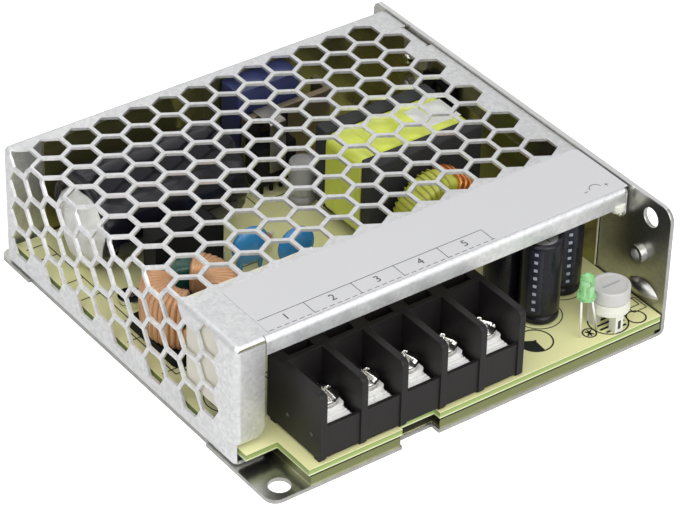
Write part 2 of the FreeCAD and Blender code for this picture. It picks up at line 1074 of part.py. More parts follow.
def bulk_adhesive():
    """Dome of glue on the can's outer end."""
    x_can, y_can, z_can = bulk_place()
    end = x_can - bulk_length / 2 - fit
    base = math.degrees(math.asin(lead / glue_radius))
    centre = Vector(end - lead, y_can - glue_offset, board_top + glue_height)
    return Part.makeSphere(glue_radius, centre, Vector(-1, 0, 0), -base, 90, 360)


# Ring chokes
def ring(outer, bore, height):
    """Ring core about the origin with rounded edges, its foot at z = 0."""
    a = bore / 2
    b = outer / 2
    e = min(1.2, (b - a) / 3)
    return turned(
        [
            (a + e, 0),
            (b - e, 0),
            (b, e),
            (b, height - e),
            (b - e, height),
            (a + e, height),
            (a, height - e),
            (a, e),
        ],
        0,
        0,
    )


def ring_strap(outer, bore, height, thick, start, sweep):
    """Part of a winding: a jacket over the core between two angles."""
    a = bore / 2 - thick
    b = outer / 2 + thick
    e = min(1.4, (b - a) / 3)
    profile = [
        (a + e, -thick),
        (b - e, -thick),
        (b, e - thick),
        (b, height + thick - e),
        (b - e, height + thick),
        (a + e, height + thick),
        (a, height + thick - e),
        (a, e - thick),
    ]
    face = face_of([(r, 0, z) for r, z in profile])
    jacket = face.revolve(Vector(0, 0, 0), Vector(0, 0, 1), sweep)
    jacket.rotate(Vector(0, 0, 0), Vector(0, 0, 1), start)
    return jacket


def winding_on(outer, bore, height, thick, start, turns, step):
    """Turns of strip with a thin gap between them, joined underneath by a thin layer."""
    jackets = [ring_strap(outer, bore, height, thick * 0.6, start, turns * step)]
    for k in range(turns):
        jackets.append(ring_strap(outer, bore, height, thick, start + k * step, step * 0.84))
    return fused(jackets).cut(ring(outer, bore, height))


def choke_place(shape):
    """Moves an input choke piece to its place on the board."""
    z = board_top + choke_base_height + choke_strap
    shape.translate(Vector(across(choke_across), along(choke_along), z))
    return shape


def input_choke_core():
    """Ring core lying flat."""
    return choke_place(ring(choke_diameter, choke_bore, choke_height))


def input_choke_winding(start):
    """One of the two windings of wide copper strip."""
    return choke_place(winding_on(choke_diameter, choke_bore, choke_height, choke_strap, start, 5, 27))


def input_choke_base():
    """Moulded base that carries the ring, with a boss in its bore."""
    x = across(choke_across)
    y = along(choke_along)
    h = choke_base_side / 2
    plate = along_z(
        [(x - h, y - h, 2.0), (x + h, y - h, 2.0), (x + h, y + h, 2.0), (x - h, y + h, 2.0)],
        board_top,
        board_top + choke_base_height,
    )
    rim = board_top + choke_base_height + choke_height * 0.8
    wall = box(x - 0.5, y - 2.4, board_top, x + 0.5, y + 2.4, rim)
    return fused([plate, wall])


def output_choke_place(shape):
    """Stands an output choke piece on the board, its axis to the front."""
    radius = coil_diameter / 2 + coil_wire
    x = across(coil_across)
    y = along(coil_along) + coil_depth / 2
    return facing_front(shape, x, y, board_top + radius)


def output_choke_core():
    """Ring core standing on edge."""
    return output_choke_place(ring(coil_diameter, coil_bore, coil_depth))


def output_choke_winding():
    """Copper turns round the standing ring."""
    return output_choke_place(winding_on(coil_diameter, coil_bore, coil_depth, coil_wire, -30, 16, 18))


# Box and disc parts
def film_capacitor():
    """Box capacitor close to the back wall."""
    x0 = across(film_can_across) - film_can_width / 2
    y1 = cover_back - sheet - film_can_from_back
    y0 = y1 - film_can_depth
    body = along_z(
        [(x0, y0, 0.7), (x0 + film_can_width, y0, 0.7), (x0 + film_can_width, y1, 0.7), (x0, y1, 0.7)],
        board_top,
        board_top + film_can_height,
    )
    rim = box(x0 + 0.8, y0 - 1, board_top - 1, x0 + film_can_width - 0.8, y1 + 1, board_top + 0.6)
    return body.cut(rim)


def disc_on_leads(x, y, diameter, thickness, height, pitch):
    """Dipped disc facing the front, held up by two leads."""
    r = diameter / 2
    t = thickness / 2
    disc = turned([(0, -t), (r * 0.7, -t), (r, -t * 0.35), (r, t * 0.35), (r * 0.7, t), (0, t)], 0, 0)
    z = board_top + height
    disc = facing_front(disc, x, y, z)
    pieces = [disc]
    for side in (-1, 1):
        foot = x + side * pitch / 2
        pieces.append(rod((foot, y, z - r * 0.72), (foot, y, board_top), lead))
    return fused(pieces)


def safety_capacitor(x, y):
    """Blue disc capacitor."""
    return disc_on_leads(x, y, disc_diameter, disc_thickness, disc_height, disc_lead_step)


def thermistor():
    """Inrush limiter disc."""
    return disc_on_leads(
        left + thermistor_from_left,
        front + thermistor_from_front,
        thermistor_diameter,
        thermistor_thickness,
        thermistor_diameter / 2 + 2.5,
        5.0,
    )


def fuse():
    """Round plug fuse."""
    x = left + fuse_from_left
    y = front + fuse_from_front
    r = fuse_diameter / 2
    z = board_top
    h = fuse_height
    return turned([(0, z), (r - 0.3, z), (r, z + 0.3), (r, z + h - 0.6), (r - 0.6, z + h), (0, z + h)], x, y)


def bridge_rectifier():
    """Flat package standing on four leads, one corner bevelled."""
    x0 = across(bridge_across) - bridge_length / 2
    y0 = along(bridge_along) - bridge_depth / 2
    z0 = board_top + bridge_lift
    profile = [
        (x0, z0, 0),
        (x0 + bridge_length, z0, 0),
        (x0 + bridge_length, z0 + bridge_height - bridge_bevel, 0),
        (x0 + bridge_length - bridge_bevel, z0 + bridge_height, 0),
        (x0, z0 + bridge_height, 0),
    ]
    pieces = [along_y(profile, y0, y0 + bridge_depth)]
    for k in range(4):
        x = x0 + 1.5 + k * (bridge_length - 3.0) / 3
        y = y0 + bridge_depth / 2
        pieces.append(box(x - 0.4, y - 0.3, board_top, x + 0.4, y + 0.3, z0 + 0.5))
    return fused(pieces)


# Heatsink with its transistor
def sink_face():
    """Front face of the heatsink."""
    return along(sink_along)


def switch_x():
    """Middle of the transistor, near the heatsink's left end."""
    return across(sink_across) - sink_length / 2 + switch_inset


def heatsink():
    """Aluminium plate standing on the board, its far end folded to the back."""
    x0 = across(sink_across) - sink_length / 2
    x1 = x0 + sink_length
    y0 = sink_face()
    y1 = y0 + sink_thickness
    return along_z(
        [
            (x0, y0, 0),
            (x1, y0, 2.2),
            (x1, y1 + sink_flange, 0),
            (x1 - sink_thickness, y1 + sink_flange, 0),
            (x1 - sink_thickness, y1, 0.6),
            (x0, y1, 0),
        ],
        board_top,
        board_top + sink_height,
    )


def tab_package():
    """Tab package about the origin: its back on the plane x = 0, facing -X."""
    z0 = board_top + package_lift
    w = package_width / 2
    body = box(-package_depth, -w, z0, 0, w, z0 + package_height)
    tab = box(-tab_thickness, -w, z0, 0, w, z0 + package_height + tab_height)
    pieces = [body, tab]
    x = -tab_thickness - 1.2
    for k in (-1, 0, 1):
        y = k * package_lead_step
        pieces.append(box(x - 0.25, y - 0.4, board_top, x + 0.25, y + 0.4, z0 + 0.5))
    z = z0 + package_height + tab_height * 0.55
    return fused(pieces).cut(rod((-6, 0, z), (6, 0, z), package_hole))


def switch_transistor():
    """Power transistor on the heatsink's front face."""
    package = tab_package()
    package.rotate(Vector(0, 0, 0), Vector(0, 0, 1), 90)
    package.translate(Vector(switch_x(), sink_face(), 0))
    return package


def transistor_clip():
    """Spring strip hooked over the heatsink's top edge, pressing the transistor."""
    x = switch_x()
    y = sink_face()
    w = clip_width / 2
    t = clip_thickness
    top = board_top + sink_height
    press = y - package_depth
    low = board_top + package_lift + package_height * 0.35
    back_face = y + sink_thickness
    return along_x(
        [
            (press - t, low, 0),
            (press, low, 0),
            (press, top, 0),
            (back_face, top, 0),
            (back_face, top - clip_hook, 0),
            (back_face + t, top - clip_hook, 0),
            (back_face + t, top + t, t),
            (press - t, top + t, t),
        ],
        x - w,
        x + w,
    )


def output_rectifier():
    """Output rectifier against the tall side, over the film."""
    package = tab_package()
    package.translate(Vector(right_in - film_side_gap - film, along(rectifier_along), 0))
    return package


# Transformer
def transformer_middle():
    """Centre of the transformer in X and Y."""
    return across(transformer_across), along(transformer_along)


def transformer_winding():
    """Taped winding."""
    x, y = transformer_middle()
    z0 = board_top + bobbin_foot
    w = winding_length / 2
    section = [
        (x - w, z0, winding_round),
        (x + w, z0, winding_round),
        (x + w, z0 + winding_height, winding_round),
        (x - w, z0 + winding_height, winding_round),
    ]
    d = winding_depth / 2
    body = along_y(section, y - d, y + d)
    middle = z0 + winding_height / 2
    leg = core_leg / 2
    return body.cut(box(x - leg, y - d - 1, middle - leg, x + leg, y + d + 1, middle + leg))


def transformer_core():
    """Ferrite: a back bar at each end of the winding joined by the middle leg."""
    x, y = transformer_middle()
    middle = board_top + bobbin_foot + winding_height / 2
    d = winding_depth / 2
    w = core_length / 2
    h = core_height / 2
    lift = winding_height / 2 - h + core_rise
    bars = []
    for y0 in (y - d - core_thickness, y + d):
        bars.append(box(x - w, y0, middle - h + lift, x + w, y0 + core_thickness, middle + h + lift))
    leg = box(x - core_leg / 2, y - d, middle - core_leg / 2, x + core_leg / 2, y + d, middle + core_leg / 2)
    return fused(bars + [leg])


def transformer_bobbin():
    """Bobbin rails under the winding with their pins."""
    x, y = transformer_middle()
    z1 = board_top + bobbin_foot
    w = winding_length / 2 - winding_round
    d = winding_depth / 2 + core_thickness
    pieces = []
    for y0 in (y - d, y + d - 3.4):
        pieces.append(box(x - w, y0, board_top + 0.6, x + w, y0 + 3.4, z1))
        for k in range(4):
            px = x - w + 1.5 + k * (2 * w - 3) / 3
            pieces.append(post(px, y0 + 1.7, board_top, board_top + 0.8, 1.0))
    pieces.append(box(x - w, y - d, z1 - 0.8, x + w, y + d, z1))
    return fused(pieces)


# Small parts
def small_package(x, y, length, pins):
    """Dual in line package, its legs in two rows."""
    z0 = board_top + 0.5
    h = opto_width / 2
    body = box(x - length / 2, y - h, z0, x + length / 2, y + h, z0 + opto_height)
    pieces = [body]
    for k in range(pins):
        px = x - length / 2 + 1.0 + k * (length - 2.0) / (pins - 1)
        for side in (-1, 1):
            outer = y + side * (h + 0.35)
            inner = y + side * (h - 0.2)
            pieces.append(box(px - 0.4, min(outer, inner), board_top, px + 0.4, max(outer, inner), z0 + 1.6))
    return fused(pieces)


def status_led():
    """Dome lens with its flange and flat underside."""
    x = right_in - led_from_right
    y = front + led_from_front
    z = board_top + led_lift
    r = led_diameter / 2
    top = z + led_height
    profile = [(0, z), (led_flange / 2, z), (led_flange / 2, z + 1.0), (r, z + 1.0), (r, top - r)]
    for k in range(1, 4):
        turn = math.radians(30 * k)
        profile.append((r * math.cos(turn), top - r + r * math.sin(turn)))
    profile[-1] = (0, top)
    return turned(profile, x, y)


def led_leads():
    """Two long leads, the right one splayed towards the board."""
    x = right_in - led_from_right
    y = front + led_from_front
    z = board_top + led_lift
    group = []
    for side, splay in ((-1, led_left_splay), (1, led_right_splay)):
        top = x + side * led_lead_step / 2
        group.append(rod((top + side * splay, y, board_top), (top, y, z), led_lead))
    return Part.makeCompound(group)


def trimmer_base():
    """Round frame on three legs with the spindle in the middle."""
    x = right_in - trimmer_from_right
    y = front + trimmer_from_front
    z = board_top + knob_lift
    flange = post(x, y, z - trimmer_flange_height - 0.2, z - 0.2, trimmer_flange)
    pieces = [flange, post(x, y, z - 0.4, z + knob_height * 0.5, trimmer_spindle)]
    reach = trimmer_flange / 2 - trimmer_leg / 2 - 0.2
    for angle in (20, 140, 260):
        px = x + reach * math.cos(math.radians(angle))
        py = y + reach * math.sin(math.radians(angle))
        h = trimmer_leg / 2
        pieces.append(box(px - h, py - h, board_top, px + h, py + h, z - 0.4))
    return fused(pieces)


def trimmer_knob():
    """Turning cap with a screwdriver slot."""
    x = right_in - trimmer_from_right
    y = front + trimmer_from_front
    z = board_top + knob_lift
    r = knob_diameter / 2
    s = trimmer_spindle / 2 + 0.1
    roof = z + knob_height * 0.5 + 0.1
    top = z + knob_height
    cap = turned([(s, z), (r, z), (r, top - 0.4), (r - 0.4, top), (0, top), (0, roof), (s, roof)], x, y)
    h = knob_slot_length / 2
    w = knob_slot_width / 2
    return cap.cut(box(x - h, y - w, top - knob_slot_depth, x + h, y + w, top + 1))


def build():
    """Makes every piece and writes it."""
    os.makedirs("parts", exist_ok=True)
    save("chassis", chassis())
    save("cover", cover())
    save("cover_liner", cover_liner())
    save("label", rating_label())
    save("base_film", base_film())
    save("board", board())
    save("board_screws", board_screws())
    save("cover_screws", cover_screws())
    save("foot_screws", foot_screws())
    save("terminal_block", terminal_block())
    for way in range(ways):
        number = str(way + 1)
        save("terminal_plate_" + number, terminal_plate(way))
        save("terminal_washer_" + number, terminal_washer(way))
        save("terminal_screw_" + number, terminal_screw(way))
    save("bulk_capacitor", bulk_capacitor())
    save("bulk_adhesive", bulk_adhesive())
    save("input_choke_core", input_choke_core())
    save("input_choke_winding_a", input_choke_winding(115))
    save("input_choke_winding_b", input_choke_winding(295))
    save("input_choke_base", input_choke_base())
    save("film_capacitor", film_capacitor())
    save("safety_capacitor_1", safety_capacitor(across(disc_one_across), along(disc_one_along)))
    save("safety_capacitor_2", safety_capacitor(across(disc_two_across), along(disc_two_along)))
    save("thermistor", thermistor())
    save("fuse", fuse())
    save("bridge_rectifier", bridge_rectifier())
    save("heatsink", heatsink())
    save("switch_transistor", switch_transistor())
    save("transistor_clip", transistor_clip())
    save("transformer_core", transformer_core())
    save("transformer_winding", transformer_winding())
    save("transformer_bobbin", transformer_bobbin())
    save("output_rectifier", output_rectifier())
    save("output_choke_core", output_choke_core())
    save("output_choke_winding", output_choke_winding())
    one_x = right_in - can_one_from_right
    one_y = front + can_one_from_front
    cans = [
        (one_x, one_y),
        (one_x + can_two_shift, one_y + output_can_diameter + can_two_gap),
        (right_in - can_three_from_right, front + can_three_from_front),
    ]
    for number, (x, y) in enumerate(cans, 1):
        save("output_capacitor_" + str(number), upright_can(x, y, output_can_diameter, output_can_height))
    aux = upright_can(across(aux_can_across), along(aux_can_along), aux_can_diameter, aux_can_height)
    save("aux_capacitor", aux)
    opto = small_package(across(opto_across), along(opto_along), opto_length, 2)
    save("optocoupler", opto)
    chip = small_package(across(chip_across), along(chip_along), chip_length, 4)
    save("control_chip", chip)
    save("status_led", status_led())
    save("led_leads", led_leads())
    save("trimmer_base", trimmer_base())
    save("trimmer_knob", trimmer_knob())


build()
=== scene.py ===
import json
import math

import bmesh
import bpy
import numpy as np
from mathutils import Matrix, Vector
from mathutils.geometry import delaunay_2d_cdt


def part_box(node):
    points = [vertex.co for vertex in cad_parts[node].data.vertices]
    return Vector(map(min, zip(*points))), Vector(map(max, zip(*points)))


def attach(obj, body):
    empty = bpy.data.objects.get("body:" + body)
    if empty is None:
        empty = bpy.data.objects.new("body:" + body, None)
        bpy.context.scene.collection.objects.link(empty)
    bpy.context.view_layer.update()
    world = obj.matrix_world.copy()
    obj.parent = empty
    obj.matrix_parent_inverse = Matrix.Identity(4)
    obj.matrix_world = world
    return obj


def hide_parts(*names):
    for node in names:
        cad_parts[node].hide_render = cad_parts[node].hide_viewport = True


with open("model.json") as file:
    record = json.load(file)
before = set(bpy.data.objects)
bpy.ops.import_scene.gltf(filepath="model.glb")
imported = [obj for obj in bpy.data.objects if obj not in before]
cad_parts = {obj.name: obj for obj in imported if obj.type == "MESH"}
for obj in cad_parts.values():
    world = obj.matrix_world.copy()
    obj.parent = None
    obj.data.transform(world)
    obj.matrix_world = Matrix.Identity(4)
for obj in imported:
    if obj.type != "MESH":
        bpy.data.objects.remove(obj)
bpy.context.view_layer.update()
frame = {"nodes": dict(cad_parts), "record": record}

mm = 0.001
weld = 0.002 * mm
bodyOfNode = {}
for bodyName, nodeNames in frame["record"]["behaviour"]["bodies"].items():
    for nodeName in nodeNames:
        bodyOfNode[nodeName] = bodyName
print("frame loaded")


# Lowest and highest corner of a CAD node in millimetres.
def boxOf(node):
    low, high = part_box(node)
    return np.array(low) / mm, np.array(high) / mm


# Shapes: a shape is a pair of points (millimetres) and a list of faces

# A grid of points (rows, columns, 3) skinned with quads, each turned so that rows going up and
# columns going anticlockwise face outwards; either direction may close on itself.
def skin(grid, closeRows=False, closeColumns=False):
    rows, columns = grid.shape[:2]
    index = np.arange(rows * columns).reshape(rows, columns)
    if closeRows:
        index = np.vstack([index, index[:1]])
    if closeColumns:
        index = np.hstack([index, index[:, :1]])
    quads = np.stack([index[:-1, :-1], index[:-1, 1:], index[1:, 1:], index[1:, :-1]], axis=-1)
    return grid.reshape(-1, 3), quads.reshape(-1, 4).tolist()


# Several shapes as one: points stacked, each face's numbers moved on by the points before it.
def joined(*shapes):
    points = []
    faces = []
    count = 0
    for shapePoints, shapeFaces in shapes:
        points.append(np.asarray(shapePoints, float))
        faces += [[corner + count for corner in face] for face in shapeFaces]
        count += len(shapePoints)
    return np.vstack(points), faces


# A shape moved by an offset, after an optional 3 by 3 turn.
def placed(shape, offset=(0, 0, 0), turn=None):
    points = np.asarray(shape[0], float)
    if turn is not None:
        points = points @ np.asarray(turn, float).T
    return points + np.asarray(offset, float), shape[1]


# Rotation about one axis by an angle in degrees, as a 3 by 3 matrix.
def turnAbout(axis, degrees):
    return np.array(Matrix.Rotation(math.radians(degrees), 3, axis))


# Profile of (radius, height) turned once about Z: (r cos a, r sin a, z) on an even circle of angles.
def lathe(profile, steps=48):
    profile = np.asarray(profile, float)
    angle = np.linspace(0, 2 * np.pi, steps, endpoint=False)
    grid = np.empty((len(profile), steps, 3))
    grid[..., 0] = profile[:, :1] * np.cos(angle)
    grid[..., 1] = profile[:, :1] * np.sin(angle)
    grid[..., 2] = profile[:, 1:]
    return skin(grid, closeColumns=True)


# Profile corners (radius, height, rounding) turned into a line with quarter-like arcs: each rounded
# corner becomes a quadratic curve between the points one rounding away on both its sides.
def roundedProfile(corners, steps=5):
    corners = np.asarray(corners, float)
    line = []
    t = np.linspace(0, 1, steps)[:, None]
    for k, (radius, height, rounding) in enumerate(corners):
        here = np.array([radius, height])
        if rounding <= 0 or k in (0, len(corners) - 1):
            line.append(here[None])
            continue
        before = corners[k - 1, :2] - here
        after = corners[k + 1, :2] - here
        start = here + before * rounding / np.linalg.norm(before)
        end = here + after * rounding / np.linalg.norm(after)
        line.append((1 - t) ** 2 * start + 2 * t * (1 - t) * here + t ** 2 * end)
    return np.vstack(line)


# Round wire along a path: centre + radius (cos a * normal + sin a * (tangent x normal)), the ends
# drawn to a point on the axis unless the path closes on itself.
def wireAlong(path, normals, radius, sides=8, closed=False):
    path = np.asarray(path, float)
    normals = np.asarray(normals, float)
    tangents = np.gradient(path, axis=0)
    if closed:
        tangents = np.roll(path, -1, axis=0) - np.roll(path, 1, axis=0)
    tangents /= np.linalg.norm(tangents, axis=1, keepdims=True)
    normals = normals - tangents * np.sum(normals * tangents, axis=1, keepdims=True)
    normals /= np.linalg.norm(normals, axis=1, keepdims=True)
    sideways = np.cross(tangents, normals)
    angle = np.linspace(0, 2 * np.pi, sides, endpoint=False)
    cosine = np.cos(angle)[None, :, None]
    sine = np.sin(angle)[None, :, None]
    ringOut = normals[:, None] * cosine + sideways[:, None] * sine
    reach = np.broadcast_to(np.asarray(radius, float), (len(path),))[:, None, None]
    grid = path[:, None] + ringOut * reach
    if not closed:
        first = np.repeat(path[:1, None], sides, axis=1)
        last = np.repeat(path[-1:, None], sides, axis=1)
        grid = np.vstack([first, grid, last])
    return skin(grid, closeRows=closed, closeColumns=True)


# Smooth line through listed points: between two of them a cubic of the four nearest, whose
# slope at each point is half the way from the point before to the point after.
def smoothLine(points, perPiece=8):
    points = np.asarray(points, float)
    padded = np.vstack([2 * points[0] - points[1], points, 2 * points[-1] - points[-2]])
    t = np.linspace(0, 1, perPiece, endpoint=False)[:, None]
    line = []
    for k in range(1, len(padded) - 2):
        a, b, c, d = padded[k - 1:k + 3]
        bend = 2 * a - 5 * b + 4 * c - d
        twist = 3 * b - a - 3 * c + d
        line.append(0.5 * (2 * b + (c - a) * t + bend * t ** 2 + twist * t ** 3))
    line.append(points[-1:])
    return np.vstack(line)


# Box with rounded edges: directions on a ball, each sent to sign(d) * (half - r) + r * d.
def roundedBox(low, high, rounding, steps=9):
    low = np.asarray(low, float)
    high = np.asarray(high, float)
    quarter = np.linspace(0, np.pi / 2, (steps + 1) // 2)
    tilt = np.concatenate([quarter - np.pi / 2, quarter])
    around = np.concatenate([quarter, quarter + np.pi / 2, quarter + np.pi, quarter + 1.5 * np.pi])
    signX = np.repeat([1, -1, -1, 1], len(quarter))
    signY = np.repeat([1, 1, -1, -1], len(quarter))
    signZ = np.repeat([-1, 1], len(quarter))
    grid = np.empty((len(tilt), len(around), 3))
    half = (high - low) / 2 - rounding
    grid[..., 0] = signX * half[0] + rounding * np.cos(tilt)[:, None] * np.cos(around)
    grid[..., 1] = signY * half[1] + rounding * np.cos(tilt)[:, None] * np.sin(around)
    grid[..., 2] = (signZ * half[2] + rounding * np.sin(tilt))[:, None]
    bottom = grid[:1].copy()
    bottom[..., :2] = 0
    top = grid[-1:].copy()
    top[..., :2] = 0
    return placed(skin(np.vstack([bottom, grid, top]), closeColumns=True), (low + high) / 2)


# A shape made an object in the frame: points nearer than the weld distance become one, a closed
# shape's faces are turned outwards, and the piece rides on its body.
def addPiece(name, shape, material, body="unit", smooth=True, closed=True):
    points, faces = shape
    mesh = bpy.data.meshes.new(name)
    mesh.from_pydata((np.asarray(points) * mm).tolist(), [], faces)
    work = bmesh.new()
    work.from_mesh(mesh)
    bmesh.ops.remove_doubles(work, verts=work.verts, dist=weld)
    if closed:
        bmesh.ops.recalc_face_normals(work, faces=work.faces)
    work.to_mesh(mesh)
    work.free()
    for item in material if isinstance(material, (list, tuple)) else [material]:
        mesh.materials.append(item)
    mesh.polygons.foreach_set("use_smooth", np.full(len(mesh.polygons), smooth))
    piece = bpy.data.objects.new(name, mesh)
    bpy.context.scene.collection.objects.link(piece)
    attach(piece, body)
    return piece


# Edge rounding by modifier: a bevel of the given width on edges sharper than the limit, then
# normals weighted by face area so that the flats stay flat.
def roundEdges(piece, width, segments=2, limit=32):
    bevel = piece.modifiers.new("edges", "BEVEL")
    bevel.width = width * mm
    bevel.segments = segments
    bevel.limit_method = "ANGLE"
    bevel.angle_limit = math.radians(limit)
    bevel.miter_outer = "MITER_ARC"
    weighted = piece.modifiers.new("normals", "WEIGHTED_NORMAL")
    weighted.keep_sharp = True


# A CAD node's skin, welded and with flat regions dissolved, its edges rounded by the given width.
# The copy takes the node's place and rides on its body.
def softCopy(node, width, material, segments=2, limit=32):
    source = frame["nodes"][node]
    mesh = source.data.copy()
    mesh.name = node + "Soft"
    work = bmesh.new()
    work.from_mesh(mesh)
    bmesh.ops.remove_doubles(work, verts=work.verts, dist=weld)
    bmesh.ops.dissolve_limit(work, angle_limit=math.radians(0.8), verts=work.verts, edges=work.edges)
    work.to_mesh(mesh)
    work.free()
    mesh.materials.clear()
    mesh.materials.append(material)
    mesh.polygons.foreach_set("material_index", np.zeros(len(mesh.polygons), np.int32))
    mesh.polygons.foreach_set("use_smooth", np.ones(len(mesh.polygons), bool))
    piece = bpy.data.objects.new(node + "Soft", mesh)
    bpy.context.scene.collection.objects.link(piece)
    if width:
        roundEdges(piece, width, segments, limit)
    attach(piece, bodyOfNode[node])
    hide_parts(node)
    return piece


# Camera: the photograph's own place and lens
photoCamera = {
    "azimuth": -36.925,
    "elevation": 35.323,
    "roll": -1.570,
    "distance": 666.05,
    "shiftRight": -2.681,
    "shiftDown": 8.241,
    "focalPixels": 3238.98,
    "imageWidth": 680,
    "sensor": 36.0,
}


# The camera looks along the reverse of back = (sin a cos e, -cos a cos e, sin e); its right and
# down directions turn by the roll, and its place undoes the small shift at the given distance.
def placeCamera(v):
    azimuth = math.radians(v["azimuth"])
    elevation = math.radians(v["elevation"])
    roll = math.radians(v["roll"])
    back = Vector((
        math.sin(azimuth) * math.cos(elevation),
        -math.cos(azimuth) * math.cos(elevation),
        math.sin(elevation),
    ))
    right = (-back).cross(Vector((0, 0, 1))).normalized()
    down = (-back).cross(right)
    turnedRight = math.cos(roll) * right + math.sin(roll) * down
    turnedDown = -math.sin(roll) * right + math.cos(roll) * down
    place = -(v["shiftRight"] * turnedRight + v["shiftDown"] * turnedDown - v["distance"] * back)
    lens = bpy.data.cameras.new("photoLens")
    lens.sensor_width = v["sensor"]
    lens.lens = v["focalPixels"] * v["sensor"] / v["imageWidth"]
    lens.clip_start = 0.05
    lens.clip_end = 20
    holder = bpy.data.objects.new("photoCamera", lens)
    bpy.context.scene.collection.objects.link(holder)
    turn = Matrix((turnedRight, -turnedDown, back)).transposed().to_4x4()
    holder.matrix_world = Matrix.Translation(place * mm) @ turn
    bpy.context.scene.camera = holder


placeCamera(photoCamera)
print("camera placed")


# Adds a node and sets its input values and properties by name or number.
def addNode(tree, kind, values=None, **properties):
    node = tree.nodes.new("ShaderNode" + kind)
    for key, value in properties.items():
        setattr(node, key, value)
    for key, value in (values or {}).items():
        node.inputs[key].default_value = value
    return node


# Studio: pale floor, pale world, soft lamps
studio = {
    "floorSize": 3.0,
    "floorColor": (0.86, 0.86, 0.86),
    "floorLift": 0.62,
    "worldLevel": 0.40,
    "seenLevel": 1.0,
    "mirroredLevel": 0.62,
    "keyWatts": 6.6,
    "keyPlace": (-0.36, -0.33, 0.78),
    "keySize": 1.30,
    "fillWatts": 4.6,
    "fillPlace": (0.06, -0.82, 0.52),
    "fillSize": 0.8,
    "backWatts": 1.0,
    "backPlace": (0.15, 0.85, 0.75),
    "backSize": 0.7,
}


# A square lamp at a place, turned to look at the middle of the object.
def softLamp(name, place, watts, size):
    lamp = bpy.data.lights.new(name, "AREA")
    lamp.energy = watts
    lamp.size = size
    holder = bpy.data.objects.new(name, lamp)
    bpy.context.scene.collection.objects.link(holder)
    look = Vector((0, 0, 0.015)) - Vector(place)
    holder.matrix_world = Matrix.Translation(place) @ look.to_track_quat("-Z", "Y").to_matrix().to_4x4()


# Floor: a flat square at z = 0; its material adds a little white for camera rays alone.
def buildStudio(v):
    half = v["floorSize"] / 2
    mesh = bpy.data.meshes.new("floor")
    corners = [(-half, -half, 0), (half, -half, 0), (half, half, 0), (-half, half, 0)]
    mesh.from_pydata(corners, [], [(0, 1, 2, 3)])
    floor = bpy.data.objects.new("floor", mesh)
    bpy.context.scene.collection.objects.link(floor)
    material = bpy.data.materials.new("floorPaper")
    material.use_nodes = True
    nodes = material.node_tree.nodes
    links = material.node_tree.links
    shader = nodes["Principled BSDF"]
    shader.inputs["Base Color"].default_value = (*v["floorColor"], 1)
    shader.inputs["Roughness"].default_value = 0.9
    shader.inputs["Specular IOR Level"].default_value = 0.1
    shader.inputs["Emission Color"].default_value = (1, 1, 1, 1)
    path = nodes.new("ShaderNodeLightPath")
    lift = addNode(material.node_tree, "Math", {1: v["floorLift"]}, operation="MULTIPLY")
    links.new(path.outputs["Is Camera Ray"], lift.inputs[0])
    links.new(lift.outputs[0], shader.inputs["Emission Strength"])
    mesh.materials.append(material)
    world = bpy.data.worlds.new("paleWorld")
    bpy.context.scene.world = world
    world.use_nodes = True
    tree = world.node_tree
    backdrop = tree.nodes["Background"]
    backdrop.inputs["Color"].default_value = (1, 1, 1, 1)
    path = addNode(tree, "LightPath")
    through = addNode(tree, "Math", operation="MAXIMUM")
    mirrored = addNode(tree, "MapRange", {"To Min": v["worldLevel"], "To Max": v["mirroredLevel"]})
    level = addNode(tree, "Mix", {"B": v["seenLevel"]}, data_type="FLOAT")
    tree.links.new(path.outputs["Is Camera Ray"], through.inputs[0])
    tree.links.new(path.outputs["Is Transmission Ray"], through.inputs[1])
    tree.links.new(path.outputs["Is Glossy Ray"], mirrored.inputs["Value"])
    tree.links.new(through.outputs[0], level.inputs["Factor"])
    tree.links.new(mirrored.outputs["Result"], level.inputs["A"])
    tree.links.new(level.outputs["Result"], backdrop.inputs["Strength"])
    softLamp("keyLamp", v["keyPlace"], v["keyWatts"], v["keySize"])
    softLamp("fillLamp", v["fillPlace"], v["fillWatts"], v["fillSize"])
    softLamp("backLamp", v["backPlace"], v["backWatts"], v["backSize"])
    bpy.context.scene.view_settings.view_transform = "Standard"


buildStudio(studio)
print("studio built")


# Shader groups that several finishes share

# A new shader group with its named sockets; outputs and inputs are lists of (name, type, value).
def newGroup(name, inputs, outputs):
    group = bpy.data.node_groups.new(name, "ShaderNodeTree")
    for label, kind, value in inputs:
        socket = group.interface.new_socket(label, in_out="INPUT", socket_type="NodeSocket" + kind)
        socket.default_value = value
    for label, kind in outputs:
        group.interface.new_socket(label, in_out="OUTPUT", socket_type="NodeSocket" + kind)
    return group, group.nodes.new("NodeGroupInput"), group.nodes.new("NodeGroupOutput")


